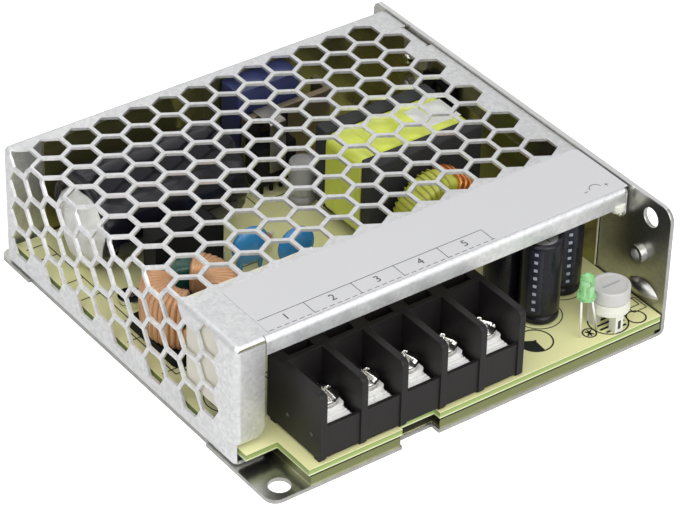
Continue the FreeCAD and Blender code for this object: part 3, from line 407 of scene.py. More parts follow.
# Fine surface grain: two sizes of noise on Object coordinates, mixed, as a height around one half.
def grainGroup():
    group, inside, outside = newGroup(
        "surfaceGrain",
        [("Scale", "Float", 800.0), ("Coarse Share", "Float", 0.35), ("Stretch", "Vector", (1, 1, 1))],
        [("Height", "Float")],
    )
    links = group.links
    where = addNode(group, "TexCoord")
    stretched = addNode(group, "VectorMath", operation="MULTIPLY")
    fine = addNode(group, "TexNoise", {"Detail": 3.0, "Roughness": 0.6})
    coarse = addNode(group, "TexNoise", {"Detail": 2.0})
    slower = addNode(group, "Math", {1: 0.22}, operation="MULTIPLY")
    blend = addNode(group, "Mix", data_type="FLOAT")
    links.new(where.outputs["Object"], stretched.inputs[0])
    links.new(inside.outputs["Stretch"], stretched.inputs[1])
    links.new(stretched.outputs[0], fine.inputs["Vector"])
    links.new(stretched.outputs[0], coarse.inputs["Vector"])
    links.new(inside.outputs["Scale"], fine.inputs["Scale"])
    links.new(inside.outputs["Scale"], slower.inputs[0])
    links.new(slower.outputs[0], coarse.inputs["Scale"])
    links.new(inside.outputs["Coarse Share"], blend.inputs["Factor"])
    links.new(fine.outputs["Fac"], blend.inputs["A"])
    links.new(coarse.outputs["Fac"], blend.inputs["B"])
    links.new(blend.outputs["Result"], outside.inputs["Height"])
    return group


# Colour drift and handling marks: slow noise mixes two colours and two roughness values.
def marksGroup():
    group, inside, outside = newGroup(
        "handlingMarks",
        [
            ("Color", "Color", (0.5, 0.5, 0.5, 1)),
            ("Marked Color", "Color", (0.4, 0.4, 0.4, 1)),
            ("Roughness", "Float", 0.5),
            ("Marked Roughness", "Float", 0.6),
            ("Scale", "Float", 60.0),
            ("Contrast", "Float", 2.0),
        ],
        [("Color", "Color"), ("Roughness", "Float"), ("Mask", "Float")],
    )
    links = group.links
    where = addNode(group, "TexCoord")
    cloud = addNode(group, "TexNoise", {"Detail": 5.0, "Roughness": 0.62})
    centred = addNode(group, "Math", {1: 0.5}, operation="SUBTRACT")
    steep = addNode(group, "Math", operation="MULTIPLY")
    lifted = addNode(group, "Math", {1: 0.5}, operation="ADD", use_clamp=True)
    color = addNode(group, "Mix", data_type="RGBA")
    rough = addNode(group, "Mix", data_type="FLOAT")
    links.new(where.outputs["Object"], cloud.inputs["Vector"])
    links.new(inside.outputs["Scale"], cloud.inputs["Scale"])
    links.new(cloud.outputs["Fac"], centred.inputs[0])
    links.new(centred.outputs[0], steep.inputs[0])
    links.new(inside.outputs["Contrast"], steep.inputs[1])
    links.new(steep.outputs[0], lifted.inputs[0])
    links.new(lifted.outputs[0], color.inputs["Factor"])
    links.new(inside.outputs["Color"], color.inputs[6])
    links.new(inside.outputs["Marked Color"], color.inputs[7])
    links.new(lifted.outputs[0], rough.inputs["Factor"])
    links.new(inside.outputs["Roughness"], rough.inputs["A"])
    links.new(inside.outputs["Marked Roughness"], rough.inputs["B"])
    links.new(color.outputs[2], outside.inputs["Color"])
    links.new(rough.outputs["Result"], outside.inputs["Roughness"])
    links.new(lifted.outputs[0], outside.inputs["Mask"])
    return group


# Zinc crystals: cells of different brightness, softened by noise, as a mask from 0 to 1.
def spangleGroup():
    group, inside, outside = newGroup(
        "zincSpangle",
        [("Scale", "Float", 1300.0), ("Softness", "Float", 0.4)],
        [("Mask", "Float")],
    )
    links = group.links
    where = addNode(group, "TexCoord")
    cells = addNode(group, "TexVoronoi", {"Randomness": 1.0}, feature="F1")
    apart = addNode(group, "SeparateColor")
    cloud = addNode(group, "TexNoise", {"Detail": 4.0})
    blend = addNode(group, "Mix", data_type="FLOAT")
    links.new(where.outputs["Object"], cells.inputs["Vector"])
    links.new(where.outputs["Object"], cloud.inputs["Vector"])
    links.new(inside.outputs["Scale"], cells.inputs["Scale"])
    links.new(inside.outputs["Scale"], cloud.inputs["Scale"])
    links.new(cells.outputs["Color"], apart.inputs["Color"])
    links.new(inside.outputs["Softness"], blend.inputs["Factor"])
    links.new(apart.outputs["Red"], blend.inputs["A"])
    links.new(cloud.outputs["Fac"], blend.inputs["B"])
    links.new(blend.outputs["Result"], outside.inputs["Mask"])
    return group


shared = {"grain": grainGroup(), "marks": marksGroup(), "spangle": spangleGroup()}


# Finishes

# The socket that a shader's colour comes from so far.
def colorSoFar(shader):
    return shader.inputs["Base Color"].links[0].from_socket


# One finish: a Principled shader with constants on its own sockets, colour and roughness from the
# marks group, and a bump from the grain group.
def finish(name, color, marked=None, roughness=0.5, markedRoughness=None, marksScale=60.0, contrast=2.0,
           grainScale=900.0, grainDepth=0.004, stretch=(1, 1, 1), **sockets):
    material = bpy.data.materials.new(name)
    material.use_nodes = True
    tree = material.node_tree
    shader = tree.nodes["Principled BSDF"]
    for key, value in sockets.items():
        shader.inputs[key.replace("_", " ")].default_value = value
    marks = addNode(tree, "Group", node_tree=shared["marks"])
    marks.inputs["Color"].default_value = (*color, 1)
    marks.inputs["Marked Color"].default_value = (*(marked or [c * 0.86 for c in color]), 1)
    marks.inputs["Roughness"].default_value = roughness
    marks.inputs["Marked Roughness"].default_value = markedRoughness or min(1, roughness + 0.1)
    marks.inputs["Scale"].default_value = marksScale
    marks.inputs["Contrast"].default_value = contrast
    tree.links.new(marks.outputs["Color"], shader.inputs["Base Color"])
    tree.links.new(marks.outputs["Roughness"], shader.inputs["Roughness"])
    if grainDepth:
        grain = addNode(tree, "Group", node_tree=shared["grain"])
        grain.inputs["Scale"].default_value = grainScale
        grain.inputs["Stretch"].default_value = stretch
        bump = addNode(tree, "Bump", {"Strength": 1.0, "Distance": grainDepth * mm})
        tree.links.new(grain.outputs["Height"], bump.inputs["Height"])
        tree.links.new(bump.outputs["Normal"], shader.inputs["Normal"])
    return material


# Galvanised sheet: metal whose colour and gloss vary from crystal to crystal.
def zincFinish(name, light, dark, roughness, metallic):
    material = finish(name, light, dark, roughness, roughness + 0.08, marksScale=45, contrast=1.6,
                      grainScale=700, grainDepth=0.004, Metallic=metallic)
    tree = material.node_tree
    shader = tree.nodes["Principled BSDF"]
    before = colorSoFar(shader)
    spangle = addNode(tree, "Group", node_tree=shared["spangle"])
    tint = addNode(tree, "Mix", data_type="RGBA", blend_type="MULTIPLY")
    shade = addNode(tree, "MapRange", {"To Min": 0.84, "To Max": 1.08})
    tree.links.new(spangle.outputs["Mask"], shade.inputs["Value"])
    tint.inputs[0].default_value = 1.0
    tree.links.new(before, tint.inputs[6])
    tree.links.new(shade.outputs["Result"], tint.inputs[7])
    tree.links.new(tint.outputs[2], shader.inputs["Base Color"])
    return material


finishes = {
    "zinc": zincFinish("galvanisedSheet", (0.85, 0.85, 0.855), (0.76, 0.765, 0.775), 0.42, 1.0),
    # The chassis: a glossier copy of the zinc finish whose colour is darkened as painted shade for the
    # inside of the case.
    "zincInnerShaded": zincFinish("innerSheetPaintedShade", (0.53, 0.525, 0.50), (0.46, 0.455, 0.43), 0.25, 1.0),
    # The cover's cut edges: a brighter, less metallic copy of the zinc, a painted highlight.
    "zincEdgeHighlight": zincFinish("cutEdgePaintedHighlight", (0.92, 0.92, 0.92), (0.84, 0.84, 0.84), 0.36, 0.75),
    "blockPlastic": finish("blockMoulding", (0.0100, 0.0084, 0.0086), (0.0125, 0.0108, 0.0110), 0.40, 0.5,
                           grainScale=1500, grainDepth=0.006, Specular_IOR_Level=0.3),
    "blackPlastic": finish("blackMoulding", (0.005, 0.005, 0.006), (0.008, 0.008, 0.009), 0.4, 0.5,
                           grainDepth=0.005, Specular_IOR_Level=0.14),
    "package": finish("packageMoulding", (0.006, 0.006, 0.007), (0.010, 0.010, 0.011), 0.5, 0.62,
                      grainScale=1800, grainDepth=0.01, Specular_IOR_Level=0.15),
    # Nickel plate, pale in itself, given a full white and mostly unmetallic colour as a painted reflection
    # of the front lamp.
    "nickel": finish("nickelPlatePaintedReflection", (1.0, 1.0, 0.98), (0.90, 0.90, 0.88), 0.22, 0.32, 220, 2.0,
                     grainScale=500, grainDepth=0.002, Metallic=0.15, Coat_Weight=0.4),
    "screwMetal": finish("screwMetal", (0.95, 0.94, 0.91), (0.62, 0.60, 0.55), 0.10, 0.22, 420, 3.0,
                         grainScale=600, grainDepth=0.012, Metallic=1.0),
    "ejector": finish("ejectorMark", (0.09, 0.088, 0.09), (0.06, 0.058, 0.06), 0.4, 0.5, grainDepth=0.0),
    # Dark metallic colour for vent grooves and slots: painted shade.
    "recess": finish("recessShade", (0.05, 0.045, 0.04), (0.09, 0.08, 0.07), 0.35, 0.5, 300, 2.0,
                     grainDepth=0.0, Metallic=0.8),
    "tinned": finish("tinnedWire", (0.93, 0.93, 0.90), (0.80, 0.80, 0.78), 0.25, 0.4, Metallic=0.3),
    "sink": finish("heatsinkPlate", (0.36, 0.30, 0.20), (0.27, 0.22, 0.14), 0.34, 0.5, 80, 2.0,
                   grainScale=350, grainDepth=0.006, stretch=(0.15, 1, 1), Metallic=0.9),
    "spring": finish("springSteel", (0.42, 0.40, 0.36), (0.34, 0.32, 0.28), 0.28, 0.4, Metallic=1.0),
    "printInk": finish("printedInk", (0.012, 0.014, 0.012), (0.02, 0.022, 0.02), 0.5, 0.6, grainDepth=0.0,
                       Specular_IOR_Level=0.15),
    "silicone": finish("softAdhesive", (0.92, 0.92, 0.88), (0.66, 0.66, 0.62), 0.16, 0.3, 300, 2.5,
                       grainScale=220, grainDepth=0.05, Transmission_Weight=0.12, Coat_Weight=0.5),
    "greenCore": finish("greenRingLacquer", (0.012, 0.085, 0.06), (0.008, 0.06, 0.04), 0.22, 0.36,
                        grainScale=900, grainDepth=0.02, Coat_Weight=0.3),
    "yellowCore": finish("yellowRingLacquer", (0.62, 0.66, 0.10), (0.52, 0.56, 0.07), 0.3, 0.45,
                         grainScale=900, grainDepth=0.02),
    "copper": finish("enamelledCopper", (0.80, 0.30, 0.08), (0.60, 0.18, 0.04), 0.2, 0.32, 400, 2.0,
                     grainDepth=0.0, Metallic=0.7, Coat_Weight=0.3),
    "paleCopper": finish("paleCopperWire", (0.74, 0.42, 0.22), (0.58, 0.30, 0.145), 0.26, 0.38, 150, 2.0,
                         grainDepth=0.0, Metallic=0.3, Coat_Weight=0.15),
    "thinWire": finish("lacqueredThinWire", (0.50, 0.50, 0.08), (0.34, 0.34, 0.05), 0.25, 0.35,
                       grainDepth=0.0, Coat_Weight=0.3),
    "navyBox": finish("navyMouldedBox", (0.035, 0.045, 0.13), (0.045, 0.055, 0.15), 0.28, 0.4,
                      grainScale=1200, grainDepth=0.006),
    "blueDisc": finish("blueDippedLacquer", (0.045, 0.29, 0.62), (0.03, 0.22, 0.50), 0.2, 0.3,
                       grainScale=260, grainDepth=0.03, Coat_Weight=0.4),
    "blackDisc": finish("blackDippedLacquer", (0.007, 0.009, 0.008), (0.012, 0.014, 0.013), 0.3, 0.42,
                        grainScale=500, grainDepth=0.03, Specular_IOR_Level=0.3),
    "ferrite": finish("ferriteGrey", (0.028, 0.029, 0.031), (0.042, 0.043, 0.045), 0.5, 0.65, 150, 2.0,
                      grainScale=900, grainDepth=0.02, Specular_IOR_Level=0.25),
    "tape": finish("yellowWindingTape", (0.74, 0.82, 0.11), (0.64, 0.73, 0.08), 0.22, 0.32, 40, 1.5,
                   grainScale=300, grainDepth=0.02, Coat_Weight=0.35),
    "whiteTape": finish("whiteSticker", (0.78, 0.79, 0.76), (0.74, 0.75, 0.72), 0.4, 0.5, grainDepth=0.003),
    "canSleeve": finish("shrunkSleeve", (0.006, 0.006, 0.010), (0.010, 0.010, 0.016), 0.2, 0.3, 120, 1.5,
                        grainScale=160, grainDepth=0.03, Specular_IOR_Level=0.3),
    "bulkSleeve": finish("wrinkledSleeve", (0.005, 0.005, 0.008), (0.010, 0.010, 0.016), 0.16, 0.26,
                         120, 1.5, grainScale=110, grainDepth=0.12, stretch=(0.4, 1, 1),
                         Specular_IOR_Level=0.38),
    "greySleeve": finish("greySleeve", (0.40, 0.40, 0.41), (0.33, 0.33, 0.34), 0.22, 0.32, grainDepth=0.006),
    "bandOrange": finish("orangeBand", (0.70, 0.16, 0.03), (0.6, 0.13, 0.02), 0.3, 0.4, grainDepth=0.003),
    "bandTan": finish("tanLacquer", (0.52, 0.36, 0.20), (0.45, 0.30, 0.16), 0.35, 0.45, grainDepth=0.006),
    "canStripe": finish("sleeveStripe", (0.016, 0.018, 0.028), (0.022, 0.024, 0.036), 0.22, 0.32,
                        grainDepth=0.006, Specular_IOR_Level=0.3),
    "canInk": finish("sleeveInk", (0.42, 0.44, 0.50), (0.34, 0.36, 0.42), 0.3, 0.4, grainDepth=0.0),
    "canTop": finish("canAluminium", (0.62, 0.63, 0.64), (0.52, 0.53, 0.54), 0.32, 0.45, 150, 2.0,
                     grainScale=500, grainDepth=0.004, Metallic=0.9),
    "trimmerBody": finish("trimmerMoulding", (0.76, 0.76, 0.68), (0.70, 0.70, 0.62), 0.4, 0.5,
                          grainScale=1200, grainDepth=0.005),
    "trimmerCap": finish("trimmerCap", (0.60, 0.59, 0.58), (0.52, 0.51, 0.50), 0.42, 0.52,
                         grainScale=1200, grainDepth=0.006),
    "liner": finish("linerCard", (0.74, 0.72, 0.62), (0.70, 0.68, 0.58), 0.7, 0.8, 80, 1.5,
                    grainScale=700, grainDepth=0.02),
    "labelFilm": finish("labelFilm", (0.63, 0.63, 0.65), (0.61, 0.61, 0.63), 0.38, 0.46, 30, 1.2,
                        grainScale=900, grainDepth=0.003, Coat_Weight=0.1),
    "film": finish("insulatingFilm", (0.40, 0.385, 0.17), (0.31, 0.30, 0.12), 0.16, 0.24, 25, 1.5,
                   grainScale=120, grainDepth=0.02, Metallic=0.85),
    "filmEdge": finish("filmEdge", (0.80, 0.80, 0.62), (0.72, 0.72, 0.54), 0.3, 0.4, grainDepth=0.003),
    "labelLine": finish("labelLine", (0.05, 0.05, 0.06), (0.07, 0.07, 0.08), 0.5, 0.6, grainDepth=0.0),
}


# Board laminate: the edge's layers as (share of the thickness, colour) from below
boardLayers = {
    "topFrom": 0.965,
    "stops": (
        (0.0, (0.60, 0.64, 0.42)),
        (0.12, (0.80, 0.84, 0.56)),
        (0.24, (0.52, 0.60, 0.26)),
        (0.34, (0.34, 0.44, 0.13)),
        (0.70, (0.30, 0.40, 0.10)),
        (0.82, (0.16, 0.22, 0.05)),
        (0.93, (0.72, 0.73, 0.44)),
    ),
}


# Lacquer where object Z lies above the top share of the thickness, and below it a ramp over object Z.
def boardFinish(v):
    material = finish("boardLaminate", (0.82, 0.81, 0.43), (0.76, 0.75, 0.37), 0.42, 0.5, 35, 1.5,
                      grainScale=350, grainDepth=0.01, Coat_Weight=0.2)
    tree = material.node_tree
    shader = tree.nodes["Principled BSDF"]
    before = colorSoFar(shader)
    low, high = boxOf("board")
    where = addNode(tree, "TexCoord")
    apart = addNode(tree, "SeparateXYZ")
    share = addNode(tree, "MapRange", {"From Min": low[2] * mm, "From Max": high[2] * mm})
    layers = addNode(tree, "ValToRGB")
    stops = layers.color_ramp.elements
    stops.remove(stops[-1])
    for position, color in v["stops"]:
        stops.new(position).color = (*color, 1)
    onTop = addNode(tree, "Math", {1: v["topFrom"]}, operation="GREATER_THAN")
    choice = addNode(tree, "Mix", data_type="RGBA")
    tree.links.new(where.outputs["Object"], apart.inputs[0])
    tree.links.new(apart.outputs["Z"], share.inputs["Value"])
    tree.links.new(share.outputs["Result"], layers.inputs["Fac"])
    tree.links.new(share.outputs["Result"], onTop.inputs[0])
    tree.links.new(onTop.outputs[0], choice.inputs["Factor"])
    tree.links.new(layers.outputs["Color"], choice.inputs[6])
    tree.links.new(before, choice.inputs[7])
    tree.links.new(choice.outputs[2], shader.inputs["Base Color"])
    return material


finishes["board"] = boardFinish(boardLayers)


# Painted light or shade between two heights: the finish's own colour is mixed with another colour
# where object Z lies within the band.
def bandedFinish(name, color, lowest, highest):
    material = finishes[name]
    tree = material.node_tree
    shader = tree.nodes["Principled BSDF"]
    before = colorSoFar(shader)
    where = addNode(tree, "TexCoord")
    apart = addNode(tree, "SeparateXYZ")
    middle = (lowest + highest) / 2 * mm
    inBand = addNode(tree, "Math", {1: middle, 2: (highest - lowest) / 2 * mm}, operation="COMPARE")
    choice = addNode(tree, "Mix", data_type="RGBA")
    choice.inputs[7].default_value = (*color, 1)
    tree.links.new(where.outputs["Object"], apart.inputs[0])
    tree.links.new(apart.outputs["Z"], inBand.inputs[0])
    tree.links.new(inBand.outputs[0], choice.inputs["Factor"])
    tree.links.new(before, choice.inputs[6])
    tree.links.new(choice.outputs[2], shader.inputs["Base Color"])


boardFoot = boxOf("board")[0][2]
chassisTop = boxOf("chassis")[1][2]
# Painted light on the film: a near-black shadow in the gap under the board, a darker band of shade on its
# front skirt, and a pale highlight line at the skirt's foot.
bandedFinish("film", (0.02, 0.022, 0.01), boardFoot - 0.55, boardFoot + 0.1)
bandedFinish("film", (0.25, 0.27, 0.12), boardFoot - 2.35, boardFoot - 0.5)
bandedFinish("film", (0.62, 0.62, 0.38), boardFoot - 2.7, boardFoot - 2.35)
# Painted highlight: a pale band along the top edge of the chassis walls.
bandedFinish("zincInnerShaded", (0.90, 0.90, 0.89), chassisTop - 0.25, chassisTop + 0.2)


# Clear plastics: a finish with some light going through.
def clearFinish(name, color, roughness, transmission, ior=1.45):
    return finish(name, color, [c * 0.93 for c in color], roughness, roughness + 0.06, grainScale=400,
                  grainDepth=0.004, Transmission_Weight=transmission, IOR=ior)


finishes["ledLens"] = clearFinish("greenLens", (0.52, 0.97, 0.50), 0.10, 0.7)
print("finishes made")


# Cover: one flat blank with honeycomb cells, folded round the case
coverSheet = {
    "thickness": 0.9,
    "wall": 0.6,
    "bendRadius": 1.4,
    "bendSteps": 7,
    "topRight": 47.5,
    "bendStart": -47.1,
    "frontBend": -35.8,
    "backBend": 45.0,
    "lipFrom": -41.4,
    "lipTo": 46.2,
    "lipDepth": 4.1,
    "cheekReach": 6.8,
    "cheekFoot": 6.4,
    "cheekCorner": 1.8,
    "slit": 0.25,
    "wallFront": -37.2,
    "footReach": 7.0,
    "tabCentres": (-33.1, 33.3),
    "tabHalf": 4.1,
    "tabDrop": 8.0,
    "cellFlat": 6.25,
    "cellPitch": 7.16,
    "cellStartX": -40.69,
    "cellStartY": 40.24,
    "topRows": 10,
    "sideRows": 12,
    "sideLevels": 3,
    "sideFoot": 7.69,
    "edgeRounding": 0.09,
}
topOfCover = boxOf("cover")[1][2]
leftOfCover = boxOf("cover")[0][0]


# The blank's coordinates: u runs along X over the top and on down the left side and under the foot,
# v runs along Y. Fold across u gives X and Z; fold along v drops the lip, cheek and rear wall.
def foldBlank(flat, v):
    radius = v["bendRadius"]
    arc = radius * math.pi / 2
    u = flat[:, 0]
    along = flat[:, 1]
    wallStart = v["bendStart"] - arc
    wallDrop = topOfCover - 2 * radius - v["thickness"]
    footStart = wallStart - wallDrop
    footFlat = footStart - arc
    # across: top, left bend, wall, lower bend, foot, and the right tabs' bend and drop
    spine = np.zeros((len(flat), 3))
    facing = np.zeros((len(flat), 3))
    onTop = (u >= v["bendStart"]) & (u <= v["topRight"] - radius)
    spine[onTop] = np.stack([u[onTop], 0 * u[onTop], 0 * u[onTop] + topOfCover], 1)
    facing[onTop] = (0, 0, 1)
    leftBend = (u < v["bendStart"]) & (u >= wallStart)
    angle = (v["bendStart"] - u[leftBend]) / radius
    centre = np.array([v["bendStart"], 0, topOfCover - radius])
    out = np.stack([-np.sin(angle), 0 * angle, np.cos(angle)], 1)
    spine[leftBend] = centre + radius * out
    facing[leftBend] = out
    wall = (u < wallStart) & (u >= footStart)
    height = topOfCover - radius - (wallStart - u[wall])
    spine[wall] = np.stack([0 * height + leftOfCover, 0 * height, height], 1)
    facing[wall] = (-1, 0, 0)
    lowerBend = (u < footStart) & (u >= footFlat)
    angle = (footStart - u[lowerBend]) / radius
    centre = np.array([leftOfCover + radius, 0, v["thickness"] + radius])
    out = np.stack([-np.cos(angle), 0 * angle, -np.sin(angle)], 1)
    spine[lowerBend] = centre + radius * out
    facing[lowerBend] = out
    foot = u < footFlat
    inwards = leftOfCover + radius + footFlat - u[foot]
    spine[foot] = np.stack([inwards, 0 * inwards, 0 * inwards + v["thickness"]], 1)
    facing[foot] = (0, 0, -1)
    # the right tabs
    tabBend = v["topRight"] - radius
    inTab = np.zeros(len(flat), bool)
    for tabCentre in v["tabCentres"]:
        inTab |= np.abs(along - tabCentre) <= v["tabHalf"] + 1e-3
    turning = (u > tabBend) & (u <= tabBend + arc) & inTab
    angle = (u[turning] - tabBend) / radius
    out = np.stack([np.sin(angle), 0 * angle, np.cos(angle)], 1)
    spine[turning] = np.array([tabBend, 0, topOfCover - radius]) + radius * out
    facing[turning] = out
    hanging = (u > tabBend + arc) & inTab
    drop = u[hanging] - tabBend - arc
    spine[hanging] = np.stack([0 * drop + v["topRight"], 0 * drop, topOfCover - radius - drop], 1)
    facing[hanging] = (1, 0, 0)
    plain = (u > tabBend) & ~inTab
    spine[plain] = np.stack([u[plain], 0 * u[plain], 0 * u[plain] + topOfCover], 1)
    facing[plain] = (0, 0, 1)
    # along: how far a point lies outside the flat part, bent in by a quarter circle and then straight
    depth = np.zeros(len(flat))
    y = along.copy()
    for edge, sign in ((v["frontBend"], -1), (v["backBend"], 1)):
        past = (along - edge) * sign
        curved = (past > 0) & (past <= arc)
        depth[curved] = radius * (1 - np.cos(past[curved] / radius))
        y[curved] = edge + sign * radius * np.sin(past[curved] / radius)
        straight = past > arc
        depth[straight] = radius + past[straight] - arc
        y[straight] = edge + sign * radius
    points = spine - facing * depth[:, None]
    points[:, 1] = y
    return points


# Corners of one cell: a regular hexagon with two flats across u, reach flat / sqrt 3.
def cellCorners(u, along, flat):
    turn = np.arange(6) * math.pi / 3
    reach = flat / math.sqrt(3)
    return np.stack([u + reach * np.sin(turn), along + reach * np.cos(turn)], 1)


# Centres of all cells on the blank: rows step back by the pitch times sqrt 3 / 2 and every other
# row starts half a pitch over; the side's cells stand on the same rows.
def cellCentres(v):
    radius = v["bendRadius"]
    wallTop = topOfCover - radius
    toBlank = v["bendStart"] - radius * math.pi / 2 - wallTop
    rowStep = v["cellPitch"] * math.sqrt(3) / 2
    centres = []
    for row in range(v["topRows"]):
        along = v["cellStartY"] - row * rowStep
        shift = row % 2
        for column in range(12 + shift):
            centres.append((v["cellStartX"] + (column - shift / 2) * v["cellPitch"], along))
        if not shift:
            centres.append((v["cellStartX"] - v["cellPitch"], along))
    for row in range(v["sideRows"]):
        along = v["cellStartY"] - row * rowStep
        for level in range(v["sideLevels"]):
            height = v["sideFoot"] + (level + (row % 2) / 2) * v["cellPitch"]
            centres.append((height + toBlank, along))
    return np.array(centres)


# The blank's outline, one closed line of corners going anticlockwise.
def blankOutline(v):
    radius = v["bendRadius"]
    arc = radius * math.pi / 2
    wallStart = v["bendStart"] - arc
    footStart = wallStart - (topOfCover - 2 * radius - v["thickness"])
    footFlat = footStart - arc
    footEnd = footFlat - (v["footReach"] - radius)
    lipEnd = v["frontBend"] - arc - (v["lipDepth"] - radius)
    cheekEnd = v["frontBend"] - arc - (v["cheekReach"] - radius)
    cheekLow = wallStart - (topOfCover - radius - v["cheekFoot"])
    rearEnd = v["backBend"] + arc + topOfCover - v["thickness"] - radius - 0.2
    tabBend = v["topRight"] - radius
    tabEnd = tabBend + arc + v["tabDrop"] - radius
    quarter = np.linspace(0, math.pi / 2, 6)
    line = [(v["lipFrom"], v["frontBend"]), (v["lipFrom"], lipEnd), (v["lipTo"], lipEnd)]
    line += [(v["lipTo"], v["frontBend"]), (v["topRight"], v["frontBend"])]
    for centre in v["tabCentres"]:
        low = centre - v["tabHalf"]
        high = centre + v["tabHalf"]
        bite = v["tabHalf"] * 0.8
        if centre == v["tabCentres"][0]:
            line[-1] = (tabBend, v["frontBend"])
            line.append((tabBend, low))
        else:
            line += [(v["topRight"], low - 0.6), (tabBend, low - 0.6), (tabBend, low)]
        for angle in quarter:
            line.append((tabEnd - bite + bite * math.sin(angle), low + bite - bite * math.cos(angle)))
        for angle in quarter:
            line.append((tabEnd - bite + bite * math.cos(angle), high - bite + bite * math.sin(angle)))
        line += [(tabBend, high), (tabBend, high + 0.6), (v["topRight"], high + 0.6)]
    rearRight = v["topRight"] - 0.4
    line += [(v["topRight"], v["backBend"]), (rearRight, v["backBend"]), (rearRight, rearEnd)]
    line += [(v["bendStart"] + 0.2, rearEnd), (v["bendStart"] + 0.2, v["backBend"] + 0.1)]
    line += [(v["bendStart"], v["backBend"] + radius), (footEnd, v["backBend"] + radius)]
    line.append((footEnd, v["wallFront"]))
    line += [(cheekLow, v["wallFront"]), (cheekLow, cheekEnd + v["cheekCorner"])]
    line += [(cheekLow + v["cheekCorner"] * 0.3, cheekEnd + v["cheekCorner"] * 0.3)]
    line += [(cheekLow + v["cheekCorner"], cheekEnd), (wallStart, cheekEnd), (wallStart, v["wallFront"])]
    line += [(wallStart + v["slit"], v["wallFront"]), (v["lipFrom"] - v["slit"], v["wallFront"])]
    line += [(v["lipFrom"] - v["slit"], v["frontBend"])]
    return line


# Flat triangles of the blank: the outline, the cells and the lines along each bend are joined by a
# constrained triangulation, and what lies in a cell or outside the outline is left out, with the
# points that no kept face uses.
def triangulateBlank(v):
    radius = v["bendRadius"]
    arc = radius * math.pi / 2
    outline = blankOutline(v)
    points = [tuple(point) for point in outline]
    edges = [(k, (k + 1) % len(points)) for k in range(len(points))]
    cells = cellCentres(v)
    for u, along in cells:
        first = len(points)
        points += [tuple(corner) for corner in cellCorners(u, along, v["cellFlat"])]
        edges += [(first + k, first + (k + 1) % 6) for k in range(6)]
    lowest = np.min(outline, axis=0) - 1
    highest = np.max(outline, axis=0) + 1
    wallStart = v["bendStart"] - arc
    footFlat = wallStart - (topOfCover - 2 * radius - v["thickness"]) - arc
    starts = [footFlat, wallStart, v["topRight"] - radius]
    for start in starts:
        for u in np.linspace(start, start + arc, v["bendSteps"] + 1):
            edges.append((len(points), len(points) + 1))
            points += [(u, lowest[1]), (u, highest[1])]
    for start in (v["frontBend"] - arc, v["backBend"]):
        for along in np.linspace(start, start + arc, v["bendSteps"] + 1):
            edges.append((len(points), len(points) + 1))
            points += [(lowest[0], along), (highest[0], along)]
    triangulated = delaunay_2d_cdt([Vector(point) for point in points], edges, [], 0, 1e-4)
    flat = np.array([tuple(point) for point in triangulated[0]])
    faces = np.array(triangulated[2])
    middle = flat[faces].mean(axis=1)
    keep = insideLine(middle, np.array(outline))
    # a point lies in a cell if it is nearer than half the flat in each of the three directions
    turn = np.arange(3) * math.pi / 3
    ways = np.stack([np.cos(turn), -np.sin(turn)], 1)
    apart = middle[:, None, :] - cells[None, :, :]
    reach = np.abs(apart @ ways.T).max(axis=2)
    keep &= reach.min(axis=1) > v["cellFlat"] / 2 - 1e-4
    used, renumbered = np.unique(faces[keep], return_inverse=True)
    return flat[used], renumbered.reshape(-1, 3)


# Whether points lie inside a closed line: crossings of a ray to the right are counted.
def insideLine(points, line):
    ahead = np.roll(line, -1, axis=0)
    x, y = points[:, :1], points[:, 1:]
    spans = (line[:, 1] > y) != (ahead[:, 1] > y)
    rise = np.where(ahead[:, 1] == line[:, 1], 1, ahead[:, 1] - line[:, 1])
    crossing = line[:, 0] + (y - line[:, 1]) * (ahead[:, 0] - line[:, 0]) / rise
    return (np.sum(spans & (x < crossing), axis=1) % 2) == 1


# The folded blank, given its wall inwards and a fine edge, its cut edges painted bright as a highlight.
def buildCover(v):
    flat, faces = triangulateBlank(v)
    folded = foldBlank(flat, v)
    print("cover blank:", len(flat), "points", len(faces), "faces")
    shape = (folded, faces.tolist())
    cover = addPiece("coverSheet", shape, [finishes["zinc"], finishes["zincEdgeHighlight"]], closed=False)
    wall = cover.modifiers.new("thickness", "SOLIDIFY")
    wall.thickness = v["wall"] * mm
    wall.offset = -1
    wall.use_even_offset = False
    wall.material_offset_rim = 1
    roundEdges(cover, v["edgeRounding"], 1, 40)
    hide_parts("cover")


buildCover(coverSheet)
print("cover folded")


# Case: chassis, screws, card and films
caseParts = {
    "sheetRounding": 0.13,
    "screwRounding": 0.12,
    "linerRounding": 0.04,
    "filmRounding": 0.03,
    "filmEdgeWidth": 0.3,
    "filmFront": -28.5,
    "filmTop": 20.2,
    "filmFoot": 5.4,
    "bushPlace": (45.0, -36.4, 23.9),
}


